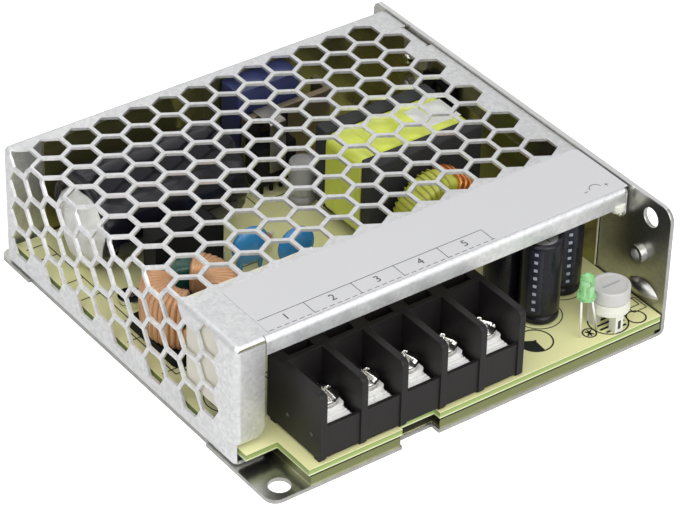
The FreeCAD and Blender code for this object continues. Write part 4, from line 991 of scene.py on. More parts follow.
# Sheet, screws, card and film from their solids; a strip for the film's cut edge; and the bush and
# screw tip under the front tab as lathes.
def buildCase(v):
    # The chassis takes the darkened sheet finish, painted shade.
    softCopy("chassis", v["sheetRounding"], finishes["zincInnerShaded"])
    for node in ("board_screws", "cover_screws", "foot_screws"):
        softCopy(node, v["screwRounding"], finishes["screwMetal"])
    softCopy("cover_liner", v["linerRounding"], finishes["liner"], 1)
    softCopy("base_film", v["filmRounding"], finishes["film"], 1)
    wide = v["filmEdgeWidth"]
    x = boxOf("base_film")[1][0] - wide
    y = v["filmFront"]
    strip = roundedBox((x - 0.12, y - wide, v["filmFoot"]), (x + 0.1, y + 0.02, v["filmTop"]), 0.04)
    addPiece("filmFrontEdge", strip, finishes["filmEdge"])
    x, y, z = v["bushPlace"]
    bushLine = [(0, 0, 0), (1.1, 0, 0.3), (1.55, 0.8, 0.3), (1.55, 2.1, 0.15), (0, 2.1, 0)]
    bush = lathe(roundedProfile(bushLine), 32)
    addPiece("tabBush", placed(bush, (x, y, z)), finishes["trimmerBody"])
    tipLine = [(0, -1.4, 0), (0.35, -1.4, 0.1), (0.6, -0.9, 0.1), (0.6, 0.1, 0), (0, 0.1, 0)]
    tip = lathe(roundedProfile(tipLine), 20)
    addPiece("tabScrewTip", placed(tip, (x + 0.9, y, z + 0.1)), finishes["screwMetal"])


buildCase(caseParts)
print("case built")


# Terminal row: moulded block, ridged plates, square washers and slotted screws
terminalRow = {
    "blockRounding": 0.24,
    "plateRounding": 0.08,
    "washerRounding": 0.14,
    "headSide": 1.25,
    "domeRise": 0.95,
    "rimRounding": 0.3,
    "slotHalf": 0.46,
    "slotReach": 3.0,
    "crossReach": 2.1,
    "recessDepth": 1.15,
    "recessEdge": 0.14,
    "shank": 1.5,
    "threadDepth": 0.15,
    "threadPitch": 0.7,
    "burrs": 0.09,
    "turnStep": 11,
    "markLine": ((0, 0, 0), (0.42, 0, 0), (0.42, 0.1, 0.06), (0, 0.1, 0)),
    "ejectorMarks": ((-38.4, 10.0), (-46.2, 10.3)),
}


# Screw head from above: dome of height rise * (1 - s^2), less the recess where a point lies within
# the slot or the cross, its walls as steep as the edge width; small waves stand for the worn faces.
def headShape(v, radius, side):
    share = np.linspace(0, 1, 30)[:, None] ** 0.8
    angle = np.linspace(0, 2 * np.pi, 96, endpoint=False)
    x = (radius - v["rimRounding"]) * share * np.cos(angle)
    y = (radius - v["rimRounding"]) * share * np.sin(angle)
    dome = v["domeRise"] * (1 - share ** 2.2)
    edge = v["recessEdge"]
    slotSides = np.clip((v["slotHalf"] - np.abs(x)) / edge, 0, 1)
    slotEnds = np.clip((v["slotReach"] - np.abs(y)) / edge, 0, 1)
    crossSides = np.clip((v["slotHalf"] - np.abs(y)) / edge, 0, 1)
    crossEnds = np.clip((v["crossReach"] - np.abs(x)) / edge, 0, 1)
    recess = v["recessDepth"] * np.maximum(slotSides * slotEnds, crossSides * crossEnds)
    worn = v["burrs"] * np.sin(5 * angle + 1.3) * np.sin(9 * share) * share
    top = side + v["rimRounding"] + dome - recess + worn
    grid = np.stack([x, y, top + 0 * x], axis=-1)
    turn = np.linspace(math.pi / 2, 0, 6)[1:]
    rim = np.empty((5, 96, 3))
    rimRadius = radius - v["rimRounding"] * (1 - np.cos(turn))
    rim[..., 0] = rimRadius[:, None] * np.cos(angle)
    rim[..., 1] = rimRadius[:, None] * np.sin(angle)
    rim[..., 2] = (side + v["rimRounding"] * np.sin(turn))[:, None]
    foot = rim[-1:].copy()
    foot[..., 2] = 0
    hub = foot.copy()
    hub[..., :2] = 0
    return skin(np.vstack([grid, rim, foot, hub]), closeColumns=True)


# Screw shank: radius swings between its two thread values once per pitch, as a lathe.
def shankShape(v, length):
    count = int(length / v["threadPitch"]) * 4
    height = np.linspace(-length, 0, count)
    wave = np.cos(2 * np.pi * height / v["threadPitch"])
    radius = v["shank"] - v["threadDepth"] + v["threadDepth"] * wave
    profile = np.column_stack([radius, height])
    return lathe(np.vstack([[(0, -length)], profile, [(0, 0)]]), 24)


# The block, plates and washers from their solids, and each screw as head and shank on its own body.
def buildTerminals(v):
    softCopy("terminal_block", v["blockRounding"], finishes["blockPlastic"], 3)
    left = boxOf("terminal_block")[0][0]
    for number, (y, z) in enumerate(v["ejectorMarks"], 1):
        mark = placed(lathe(roundedProfile(v["markLine"], 4), 20), (left, y, z), turnAbout("Y", -90))
        addPiece("ejectorMark%d" % number, mark, finishes["ejector"])
    for way in range(1, 6):
        # Plates and washers take the white nickel finish, a painted reflection.
        softCopy("terminal_plate_%d" % way, v["plateRounding"], finishes["nickel"])
        softCopy("terminal_washer_%d" % way, v["washerRounding"], finishes["nickel"])
        node = "terminal_screw_%d" % way
        low, high = boxOf(node)
        top = boxOf("terminal_washer_%d" % way)[1][2]
        middle = ((low[0] + high[0]) / 2, (low[1] + high[1]) / 2, top)
        head = headShape(v, (high[0] - low[0]) / 2, v["headSide"])
        turn = turnAbout("Z", v["turnStep"] * way)
        screw = joined(placed(head, middle, turn), placed(shankShape(v, top - low[2]), middle))
        piece = addPiece("screwHead%d" % way, screw, finishes["screwMetal"], body=bodyOfNode[node])
        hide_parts(node)


buildTerminals(terminalRow)
print("terminals built")


# Board: lacquered laminate with a layered edge, and what is printed on it
boardPrint = {
    "rounding": 0.06,
    "lift": 0.03,
    "lineWidth": 0.22,
    "bigRing": (20.9, -41.9, 3.6),
    "smallRing": (31.5, -46.0, 1.4),
    "cornerRing": (42.8, -47.1, 2.0),
    "ringWidth": 0.32,
    "crossTurns": (35, 80, 125),
    "crossReach": 0.72,
    "ringRound": ("output_capacitor_1", "output_capacitor_2", "output_capacitor_3", "aux_capacitor", "fuse"),
    "boxRound": ("bridge_rectifier", "film_capacitor", "optocoupler", "control_chip", "thermistor",
                 "safety_capacitor_1", "safety_capacitor_2", "input_choke_base", "switch_transistor"),
    "margin": 0.8,
    "sectorFrom": 150,
    "sectorTo": 265,
    "edgeLineIn": 5.4,
    "edgeRows": (-9.0, 3.5, 20.5, 27.0, 37.0, 41.5),
    "clampFrames": (((5.6, 88.8), (1.2, 84.4)), ((3.9, 90.4), (0.5, 86.4))),
    "hatchSteps": (-2.6, -1.3, 0.0, 1.3, 2.6),
    "hatchWidth": 0.5,
}


# Flat ring sector: (r cos a, r sin a) between two radii and two angles, at one height.
def flatRing(centre, outer, inner, height, start=0, end=360, steps=48):
    whole = end - start >= 360
    angle = np.radians(np.linspace(start, end, steps, endpoint=not whole))
    grid = np.empty((2, steps, 3))
    for row, radius in enumerate((outer, inner)):
        grid[row, :, 0] = centre[0] + radius * np.cos(angle)
        grid[row, :, 1] = centre[1] + radius * np.sin(angle)
        grid[row, :, 2] = height
    return skin(grid, closeColumns=whole)


# Flat strip between two points, as wide as given.
def flatLine(start, end, width, height):
    start = np.array(start, float)
    end = np.array(end, float)
    side = np.array([-(end - start)[1], (end - start)[0]]) / np.linalg.norm(end - start) * width / 2
    corners = np.stack([start - side, end - side, end + side, start + side])
    return np.column_stack([corners, np.full(4, height)]), [[0, 1, 2, 3]]


# Four strips round a rectangle, each from one corner to the next.
def flatFrame(low, high, width, height):
    corners = [(low[0], low[1]), (high[0], low[1]), (high[0], high[1]), (low[0], high[1])]
    lines = [flatLine(corners[k], corners[(k + 1) % 4], width, height) for k in range(4)]
    return joined(*lines)


# A flat shape given a small thickness upwards.
def addPrint(name, shape, material, thickness=0.03):
    ink = addPiece(name, shape, material, closed=False, smooth=False)
    wall = ink.modifiers.new("thickness", "SOLIDIFY")
    wall.thickness = thickness * mm
    wall.offset = 1


# The laminate from its solid; rings, frames, strips and hatching join into one printed piece.
def buildBoard(v):
    softCopy("board", v["rounding"], finishes["board"], 1)
    top = boxOf("board")[1][2] + v["lift"]
    width = v["lineWidth"]
    x, y, radius = v["bigRing"]
    ring = v["ringWidth"]
    marks = [flatRing((x, y), radius + ring / 2, radius - ring / 2, top)]
    marks.append(flatRing((x, y), radius - ring / 2, 0.02, top, v["sectorFrom"], v["sectorTo"], 24))
    marks.append(flatRing((x, y), 0.25, 0.02, top, steps=12))
    for centre in ("smallRing", "cornerRing"):
        x, y, radius = v[centre]
        marks.append(flatRing((x, y), radius + ring / 2, radius - ring / 2, top))
    x, y, radius = v["smallRing"]
    for turn in np.radians(v["crossTurns"]):
        acrossX = radius * v["crossReach"] * math.cos(turn)
        acrossY = radius * v["crossReach"] * math.sin(turn)
        marks.append(flatLine((x - acrossX, y - acrossY), (x + acrossX, y + acrossY), width * 1.6, top))
    for node in v["ringRound"]:
        low, high = boxOf(node)
        middle = (low + high) / 2
        reach = (high[0] - low[0]) / 2 + v["margin"]
        marks.append(flatRing(middle, reach + width / 2, reach - width / 2, top))
    for node in v["boxRound"]:
        low, high = boxOf(node)
        marks.append(flatFrame(low - v["margin"], high + v["margin"], width, top))
    # circuit lines printed along the board's left edge and round the clamp
    low, high = boxOf("board")
    edgeLine = low[0] + v["edgeLineIn"]
    marks.append(flatLine((edgeLine, -15), (edgeLine, high[1] - 3), width, top))
    for y in v["edgeRows"]:
        marks.append(flatLine((low[0] + 0.8, y), (edgeLine, y), width, top))
    for start, end in v["clampFrames"]:
        marks.append(flatFrame(high[:2] - start, high[:2] - end, width, top))
    # the trimmer's outline and hatching under it
    low, high = boxOf("trimmer_base")
    middle = (low + high) / 2
    reach = (high[0] - low[0]) / 2
    marks.append(flatRing(middle, reach + 0.15, reach - 0.15, top))
    for step in v["hatchSteps"]:
        half = math.sqrt(reach ** 2 - step ** 2) * 0.8
        y = middle[1] + step
        marks.append(flatLine((middle[0] - half, y), (middle[0] + half, y), v["hatchWidth"], top))
    addPrint("boardPrint", joined(*marks), finishes["printInk"])


buildBoard(boardPrint)
print("board printed")


# Cans: shrunk sleeves over aluminium, with a pale stripe and a crossed vent painted dark as shade
canParts = {
    "edge": 0.9,
    "crimpHeight": 2.1,
    "crimpDepth": 0.35,
    "capInset": 1.1,
    "capDrop": 0.25,
    "stripeSweep": 40,
    "stripeLift": 0.03,
    "ventWidth": 0.25,
    "dashCount": 8,
    "smallestVented": 3.5,
    "stripesAt": {"output_capacitor_1": 215, "output_capacitor_2": 150, "output_capacitor_3": 250},
}


# One standing can about Z: the sleeve is a lathe, the stripe and its bars are grids of
# (r cos a, r sin a, z) just outside it, and the cap and its vent lines lie flat.
def canShapes(v, radius, height, stripeAt):
    cap = radius - v["capInset"]
    crimp = v["crimpHeight"]
    sleeve = lathe(roundedProfile([
        (0, 0.2, 0), (radius - 0.9, 0.2, 0.1), (radius, 0.2, 0.6), (radius, crimp - 0.6, 0.2),
        (radius - v["crimpDepth"], crimp, 0.25), (radius, crimp + 0.6, 0.2), (radius, height, v["edge"]),
        (cap, height, 0.15), (cap - 0.05, height - v["capDrop"], 0), (0, height - v["capDrop"], 0),
    ]), 56)
    top = height - v["capDrop"] + 0.02
    disc = flatRing((0, 0), cap - 0.08, 0.001, top, steps=40)
    reach = cap * 0.72
    vents = joined(
        flatLine((-reach, 0), (reach, 0), v["ventWidth"], top + 0.03),
        flatLine((0, -reach), (0, reach), v["ventWidth"], top + 0.03),
    )
    angle = np.radians(np.linspace(stripeAt - v["stripeSweep"] / 2, stripeAt + v["stripeSweep"] / 2, 9))
    outer = radius + v["stripeLift"]
    rows = np.array([crimp + 1.0, height - v["edge"]])
    stripe = np.empty((2, len(angle), 3))
    stripe[..., 0] = outer * np.cos(angle)
    stripe[..., 1] = outer * np.sin(angle)
    stripe[..., 2] = rows[:, None]
    bars = []
    span = rows[1] - rows[0]
    for k in range(v["dashCount"]):
        z = rows[0] + span * (k + 0.5) / v["dashCount"]
        bar = np.empty((2, 3, 3))
        part = np.radians([stripeAt - 5, stripeAt, stripeAt + 5])
        bar[..., 0] = (outer + 0.03) * np.cos(part)
        bar[..., 1] = (outer + 0.03) * np.sin(part)
        bar[..., 2] = np.array([[z - span * 0.022], [z + span * 0.022]])
        bars.append(skin(bar))
    return {"Sleeve": sleeve, "Cap": disc, "Vent": vents, "Stripe": skin(stripe), "Bars": joined(*bars)}


# A standing can takes the place of its CAD node; one without a stripe ends at its cap.
def buildStandingCan(v, node, sleeve, stripeAt=None):
    low, high = boxOf(node)
    middle = (low + high) / 2
    radius = (high[0] - low[0]) / 2
    shapes = canShapes(v, radius, high[2] - low[2], stripeAt or 0)
    offset = (middle[0], middle[1], low[2])
    body = addPiece(node + "Sleeve", placed(shapes["Sleeve"], offset), sleeve)
    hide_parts(node)
    addPrint(node + "Cap", placed(shapes["Cap"], offset), finishes["canTop"])
    # Painted shade: the vent's grooves are dark flat strips on the cap.
    if radius > v["smallestVented"]:
        addPrint(node + "Vent", placed(shapes["Vent"], offset), finishes["recess"])
    if stripeAt is not None:
        addPrint(node + "Stripe", placed(shapes["Stripe"], offset), finishes["canStripe"])
        addPrint(node + "Bars", placed(shapes["Bars"], offset), finishes["canInk"])


for canNode, canStripeAt in canParts["stripesAt"].items():
    buildStandingCan(canParts, canNode, finishes["canSleeve"], canStripeAt)
buildStandingCan(canParts, "aux_capacitor", finishes["greySleeve"])


# Lying can: a wrinkled sleeve whose radius ripples towards both ends, and its leads
bulkCan = {
    "endEdge": 1.1,
    "rippleDepth": 0.16,
    "rippleCount": 11,
    "endReach": 5.0,
    "stripeFrom": 190,
    "stripeTo": 235,
    "leadRadius": 0.4,
    "leadReach": 1.8,
    "leadStep": 7.5,
}


# The sleeve about X: radius r + ripple * end share * sin(n a + phase s), ends rounded in.
def buildBulkCan(v):
    low, high = boxOf("bulk_capacitor")
    length = high[0] - low[0] - v["leadReach"] - v["leadRadius"]
    radius = (high[1] - low[1]) / 2
    middle = np.array([low[0], (low[1] + high[1]) / 2, high[2] - radius])
    edge = v["endEdge"]
    quarter = np.linspace(0, math.pi / 2, 7)
    along = np.concatenate([
        edge * (1 - np.cos(quarter)), np.linspace(edge, length - edge, 40)[1:-1],
        length - edge + edge * np.sin(quarter),
    ])
    rounding = np.concatenate([
        edge * (1 - np.sin(quarter)), np.zeros(38), edge * (1 - np.cos(quarter)),
    ])
    angle = np.linspace(0, 2 * np.pi, 96, endpoint=False)
    fromEnd = np.minimum(along, length - along)
    share = np.exp(-fromEnd / v["endReach"])[:, None]
    ripple = np.sin(v["rippleCount"] * angle + 0.5 * along[:, None]) + 0.6 * np.sin(
        (v["rippleCount"] * 2 + 3) * angle - 0.9 * along[:, None])
    reach = radius - rounding[:, None] + v["rippleDepth"] * (share * ripple - share)
    wave = 0.05 * np.sin(3 * angle + 0.35 * along[:, None])
    grid = np.empty((len(along), len(angle), 3))
    grid[..., 0] = along[:, None]
    grid[..., 1] = (reach + wave - 0.05) * np.cos(angle)
    grid[..., 2] = (reach + wave - 0.05) * np.sin(angle)
    first = np.zeros((1, len(angle), 3))
    last = np.zeros((1, len(angle), 3))
    last[..., 0] = length
    inner = grid[:1].copy()
    inner[..., 1:] *= 0.86
    sunk = inner.copy()
    sunk[..., 0] += 0.25
    first[..., 0] = 0.25
    body = skin(np.vstack([first, sunk, inner, grid, last]), closeColumns=True)
    sleeve = addPiece("bulkSleeve", placed(body, middle), finishes["bulkSleeve"])
    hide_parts("bulk_capacitor")
    part = np.radians(np.linspace(v["stripeFrom"], v["stripeTo"], 12))
    rows = np.linspace(3.0, length - 3.0, 24)
    stripe = np.empty((len(rows), len(part), 3))
    stripe[..., 0] = rows[:, None]
    stripe[..., 1] = (radius + 0.05) * np.cos(part)
    stripe[..., 2] = (radius + 0.05) * np.sin(part)
    addPrint("bulkStripe", placed(skin(stripe), middle), finishes["canStripe"])
    leads = []
    floor = boxOf("board")[1][2] - middle[2]
    x = length + v["leadReach"]
    for side in (-0.5, 0.5):
        y = side * v["leadStep"]
        route = smoothLine([
            (length - 0.5, y, 0), (x - 0.7, y, 0), (x - 0.1, y, -0.7), (x, y, -2.5), (x, y, floor),
        ])
        leads.append(wireAlong(route, np.tile((0.0, 1.0, 0.0), (len(route), 1)), v["leadRadius"]))
    addPiece("bulkLeads", placed(joined(*leads), middle), finishes["tinned"])


buildBulkCan(bulkCan)


# Glue on the lying can's end: a low dome with vertical streaks that runs down to a drip
glueDome = {
    "radius": 8.3,
    "above": 2.2,
    "beside": 1.2,
    "rise": 3.2,
    "streakDepth": 0.28,
    "streaks": 9,
    "drip": 1.16,
}


# Polar grid: rise falls off as (1 - s^3), the rim swells with sines, and the lower half reaches down.
def buildGlue(v):
    low, high = boxOf("bulk_adhesive")
    middle = (low + high) / 2 + np.array([0, v["beside"], v["above"]])
    radius = v["radius"]
    share = np.linspace(0, 1, 22)[:, None]
    angle = np.linspace(0, 2 * np.pi, 72, endpoint=False)
    rim = 1 + 0.05 * np.sin(3 * angle + 0.6) + 0.03 * np.sin(7 * angle)
    rim = rim * np.where(np.sin(angle) < 0, 1 + (v["drip"] - 1) * np.abs(np.sin(angle)) ** 6, 1)
    y = radius * share * rim * np.cos(angle)
    z = radius * share * rim * np.sin(angle)
    streak = v["streakDepth"] * np.sin(v["streaks"] * y / radius + 0.7 * np.sin(z)) * (1 - share ** 4)
    grid = np.stack([-(v["rise"] * (1 - share ** 3) + streak) + 0 * y, y, z], axis=-1)
    back = grid[-1:].copy()
    back[..., 0] = 0.25
    centre = back.copy()
    centre[..., 1:] = 0
    shape = skin(np.vstack([grid, back, centre]), closeColumns=True)
    glue = addPiece("glueDome", placed(shape, (high[0] - 0.1, middle[1], middle[2])), finishes["silicone"])
    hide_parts("bulk_adhesive")


buildGlue(glueDome)
print("cans built")


# Ring chokes: a rounded ring with wire wound through its bore
ringChokes = {
    "inputStarts": {"input_choke_winding_a": 128, "input_choke_winding_b": -52},
    "inputSweep": 104,
    "inputTurns": 13,
    "inputWire": 1.35,
    "inputBore": 8.6,
    "outputTurns": 13,
    "outputWire": 0.9,
    "outputBore": 9.4,
    "outputSweep": 128,
    "outputStart": -52,
    "thinTurns": 26,
    "thinWire": 0.4,
    "thinSweep": 214,
    "thinStart": 84,
    "squareness": 0.55,
}


# Ring section at an angle t: a box-like oval, each half size times sign(cos) |cos|^squareness.
def ringSection(turn, halfWide, halfHigh, squareness):
    c = np.cos(turn)
    s = np.sin(turn)
    return halfWide * np.sign(c) * np.abs(c) ** squareness, halfHigh * np.sign(s) * np.abs(s) ** squareness


# The bare ring about Z: the section carried round a full circle.
def ringCore(bore, outer, height, squareness):
    turn = np.linspace(0, 2 * np.pi, 40, endpoint=False)
    across, up = ringSection(turn, (outer - bore) / 4, height / 2, squareness)
    around = np.linspace(0, 2 * np.pi, 72, endpoint=False)[:, None]
    radius = (outer + bore) / 4 + across
    grid = np.stack([radius * np.cos(around), radius * np.sin(around), up + 0 * around], axis=-1)
    return skin(grid, closeRows=True, closeColumns=True)


# Wire wound on a ring about Z: the section's angle makes one turn while the ring's angle advances
# by sweep / turns; the path stays half a wire outside the ring.
def ringWire(bore, outer, height, wire, turns, start, sweep, squareness, sides=8):
    t = np.linspace(0, turns, int(turns * 30) + 1)
    turn = 2 * np.pi * t
    grow = wire * 0.55
    across, up = ringSection(turn, (outer - bore) / 4 + grow, height / 2 + grow, squareness)
    around = np.radians(start + sweep * t / turns)
    middle = (outer + bore) / 4
    radius = middle + across
    path = np.stack([radius * np.cos(around), radius * np.sin(around), up], axis=-1)
    outward = np.stack([across * np.cos(around), across * np.sin(around), up], axis=-1)
    return wireAlong(path, outward, wire / 2, sides)


# The lying input ring with its two coils and base, then the upright output ring with its two wires.
def buildChokes(v):
    low, high = boxOf("input_choke_core")
    middle = (low + high) / 2
    outer = high[0] - low[0]
    height = high[2] - low[2]
    core = ringCore(v["inputBore"], outer, height, 0.4)
    ringPiece = addPiece("inputChokeRing", placed(core, middle), finishes["greenCore"])
    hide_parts("input_choke_core")
    for node, start in v["inputStarts"].items():
        coil = ringWire(v["inputBore"], outer, height, v["inputWire"], v["inputTurns"], start,
                        v["inputSweep"], 0.5, 10)
        winding = addPiece(node + "Wire", placed(coil, middle), finishes["paleCopper"])
        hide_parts(node)
    softCopy("input_choke_base", 0.2, finishes["blackPlastic"])
    low, high = boxOf("output_choke_core")
    middle = (low + high) / 2
    outer = high[0] - low[0]
    depth = high[1] - low[1]
    upright = turnAbout("X", 90)
    core = ringCore(v["outputBore"], outer, depth, v["squareness"])
    ringPiece = addPiece("outputChokeRing", placed(core, middle, upright), finishes["yellowCore"])
    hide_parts("output_choke_core")
    coil = ringWire(v["outputBore"], outer, depth, v["outputWire"], v["outputTurns"], v["outputStart"],
                    v["outputSweep"], v["squareness"])
    winding = addPiece("outputChokeWire", placed(coil, middle, upright), finishes["copper"])
    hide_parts("output_choke_winding")
    thin = ringWire(v["outputBore"], outer, depth, v["thinWire"], v["thinTurns"], v["thinStart"],
                    v["thinSweep"], v["squareness"], 6)
    addPiece("outputChokeThin", placed(thin, middle, upright), finishes["thinWire"])


buildChokes(ringChokes)
print("chokes wound")


# Dipped discs: thick rounded discs on two lacquered legs
dippedDiscs = {"legRadius": 0.9, "wireRadius": 0.3, "legStep": 5.0, "squareness": 2.6}


# Disc about Z: height half * (1 - (r/R)^n)^(1/2) on both sides.
def discShape(radius, thickness, power):
    share = np.sin(np.linspace(0, math.pi / 2, 14))
    half = thickness / 2 * np.sqrt(np.clip(1 - share ** power, 0, 1))
    profile = np.concatenate([
        np.column_stack([radius * share, -half]), np.column_stack([radius * share, half])[::-1][1:],
    ])
    return lathe(profile, 56)


# A disc and two legs, wires that are thick with lacquer at the top: reach falls as (1 - s) ^ 0.6.
def buildDisc(v, node, material):
    low, high = boxOf(node)
    middle = (low + high) / 2
    radius = (high[0] - low[0]) / 2
    thickness = high[1] - low[1]
    centre = np.array([middle[0], middle[1], high[2] - radius])
    disc = placed(discShape(radius, thickness, v["squareness"]), centre, turnAbout("X", 90))
    legs = []
    for side in (-0.5, 0.5):
        x = middle[0] + side * v["legStep"]
        top = (x, middle[1], centre[2] - radius * 0.55)
        route = smoothLine([top, (x, middle[1], low[2] + 2.2), (x, middle[1], low[2])], 10)
        fall = np.linspace(0, 1, len(route))
        reach = v["wireRadius"] + (v["legRadius"] - v["wireRadius"]) * np.clip(1 - fall * 1.15, 0, 1) ** 0.6
        legs.append(wireAlong(route, np.tile((0.0, 1.0, 0.0), (len(route), 1)), reach))
    piece = addPiece(node + "Dipped", joined(disc, *legs), material)
    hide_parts(node)


for discNode in ("safety_capacitor_1", "safety_capacitor_2"):
    buildDisc(dippedDiscs, discNode, finishes["blueDisc"])
buildDisc(dippedDiscs, "thermistor", finishes["blackDisc"])
print("discs built")


# Transformer: ferrite, tape with the flap where it ends, bobbin and bare sticker
transformerParts = {
    "ferriteRounding": 0.35,
    "bobbinRounding": 0.3,
    "tapeRounding": 0.5,
    "flapFrom": -9.0,
    "flapTo": 1.5,
    "flapInset": 0.6,
    "sticker": (9.5, 7.5),
    "stickerFromRight": 1.2,
    "stickerLift": 0.06,
    "flapThickness": 0.12,
}


# The three solids with rounded edges; flap and sticker are thin rounded boxes on the tape's top.
def buildTransformer(v):
    softCopy("transformer_core", v["ferriteRounding"], finishes["ferrite"], 3)
    softCopy("transformer_bobbin", v["bobbinRounding"], finishes["blackPlastic"])
    low, high = boxOf("transformer_winding")
    softCopy("transformer_winding", v["tapeRounding"], finishes["tape"], 4)
    middle = (low + high) / 2
    flapLow = (middle[0] + v["flapFrom"], low[1] + v["flapInset"], high[2])
    flapHigh = (middle[0] + v["flapTo"], high[1] - v["flapInset"], high[2] + v["flapThickness"])
    addPiece("tapeFlap", roundedBox(flapLow, flapHigh, 0.05), finishes["tape"])
    wide, deep = v["sticker"]
    start = high[0] - v["stickerFromRight"] - wide
    stickerLow = (start, middle[1] - deep / 2, high[2])
    stickerHigh = (start + wide, middle[1] + deep / 2, high[2] + v["stickerLift"])
    addPiece("bareSticker", roundedBox(stickerLow, stickerHigh, 0.025), finishes["whiteTape"])


buildTransformer(transformerParts)
print("transformer built")


# Packages, sink, fuse and small parts
smallParts = {
    "packages": ("switch_transistor", "output_rectifier", "optocoupler", "control_chip", "bridge_rectifier"),
    "packageRounding": 0.16,
    "sinkRounding": 0.14,
    "clipRounding": 0.08,
    "boxRounding": 0.3,
}


# Each of them is its solid with rounded edges and its own finish.
def buildSmallParts(v):
    for node in v["packages"]:
        softCopy(node, v["packageRounding"], finishes["package"])
    softCopy("fuse", v["boxRounding"], finishes["blackPlastic"], 3)
    softCopy("heatsink", v["sinkRounding"], finishes["sink"])
    softCopy("transistor_clip", v["clipRounding"], finishes["spring"])
    softCopy("film_capacitor", v["boxRounding"], finishes["navyBox"], 3)


buildSmallParts(smallParts)


# Axial parts seen through the cover: a cylinder body with a band and bent leads
axialParts = {
    "body": 2.0,
    "long": 4.6,
    "lead": 0.35,
    "leadReach": 1.6,
    "rise": 2.2,
    "places": (
        (-6.0, 14.5, 25, "greySleeve", "bandOrange"),
        (-14.0, 20.0, 80, "bandTan", "blackPlastic"),
        (30.5, -13.5, 90, "bandTan", "printInk"),
        (2.5, -16.5, 0, "greySleeve", "printInk"),
    ),
}


# Body about X as a lathe with rounded ends, its band a slightly wider short lathe, leads bent down.
def buildAxial(v):
    floor = boxOf("board")[1][2]
    half = v["long"] / 2
    radius = v["body"] / 2
    bodyLine = roundedProfile([(0, -half, 0), (radius, -half, 0.35), (radius, half, 0.35), (0, half, 0)])
    body = lathe(bodyLine, 28)
    wide = radius + 0.04
    band = lathe([(0, half * 0.45), (wide, half * 0.45), (wide, half * 0.72), (0, half * 0.72)], 28)
    reach = half + v["leadReach"]
    route = smoothLine([
        (-reach, 0, -v["rise"]), (-reach, 0, -0.7), (-reach + 0.6, 0, 0), (reach - 0.6, 0, 0),
        (reach, 0, -0.7), (reach, 0, -v["rise"]),
    ], 6)
    wire = wireAlong(route, np.tile((0.0, 1.0, 0.0), (len(route), 1)), v["lead"])
    for number, (x, y, turn, bodyFinish, bandFinish) in enumerate(v["places"], 1):
        lying = turnAbout("Z", turn) @ turnAbout("Y", 90)
        spot = (x, y, floor + v["rise"])
        addPiece("axialBody%d" % number, placed(body, spot, lying), finishes[bodyFinish])
        addPiece("axialBand%d" % number, placed(band, spot, lying), finishes[bandFinish])
        addPiece("axialLead%d" % number, placed(wire, spot, turnAbout("Z", turn)), finishes["tinned"])


buildAxial(axialParts)
print("small parts built")


# Status lamp and trimmer
frontParts = {
    "flangeStep": 0.4,
    "frameTops": ((-0.62, 3.2), (0.62, 2.6)),
    "trimmerRounding": 0.14,
    "capRounding": 0.28,
    "capStart": 1.2,
    "capDish": 0.12,
    "slotLength": 4.4,
    "slotWidth": 0.5,
    "legHalf": 1.0,
    "legTurn": 260,
    "postWidth": 0.5,
    "cupRadius": 0.62,
}


# Lamp: the lens is a lathe with a flange and a half ball; in it stand two lead frames, one with a cup.
def buildLamp(v):
    low, high = boxOf("status_led")
    middle = (low + high) / 2
    flange = (high[0] - low[0]) / 2
    radius = flange - v["flangeStep"]
    height = high[2] - low[2]
    quarter = np.linspace(0, math.pi / 2, 12)
    dome = np.column_stack([radius * np.cos(quarter), height - radius + radius * np.sin(quarter)])
    foot = roundedProfile([
        (0, 0, 0), (flange, 0, 0.15), (flange, 1.0, 0.2), (radius, 1.0, 0.15), (radius, 1.6, 0),
    ])
    lens = lathe(np.vstack([foot, dome]), 48)
    piece = addPiece("ledLens", placed(lens, (middle[0], middle[1], low[2])), finishes["ledLens"])
    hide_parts("status_led")
    half = v["postWidth"] / 2
    frames = []
    for side, top in v["frameTops"]:
        postLow = (middle[0] + side - half, middle[1] - half, low[2] + 0.3)
        postHigh = (middle[0] + side + half, middle[1] + half, low[2] + top)
        frames.append(roundedBox(postLow, postHigh, 0.08))
    cup = lathe([(0, 0), (v["cupRadius"], 0.25), (v["cupRadius"], 0.7), (0.35, 0.3), (0, 0.3)], 24)
    frames.append(placed(cup, (middle[0] - 0.3, middle[1], low[2] + 2.9)))
    addPiece("ledFrames", joined(*frames), finishes["tinned"])
    softCopy("led_leads", 0, finishes["tinned"])


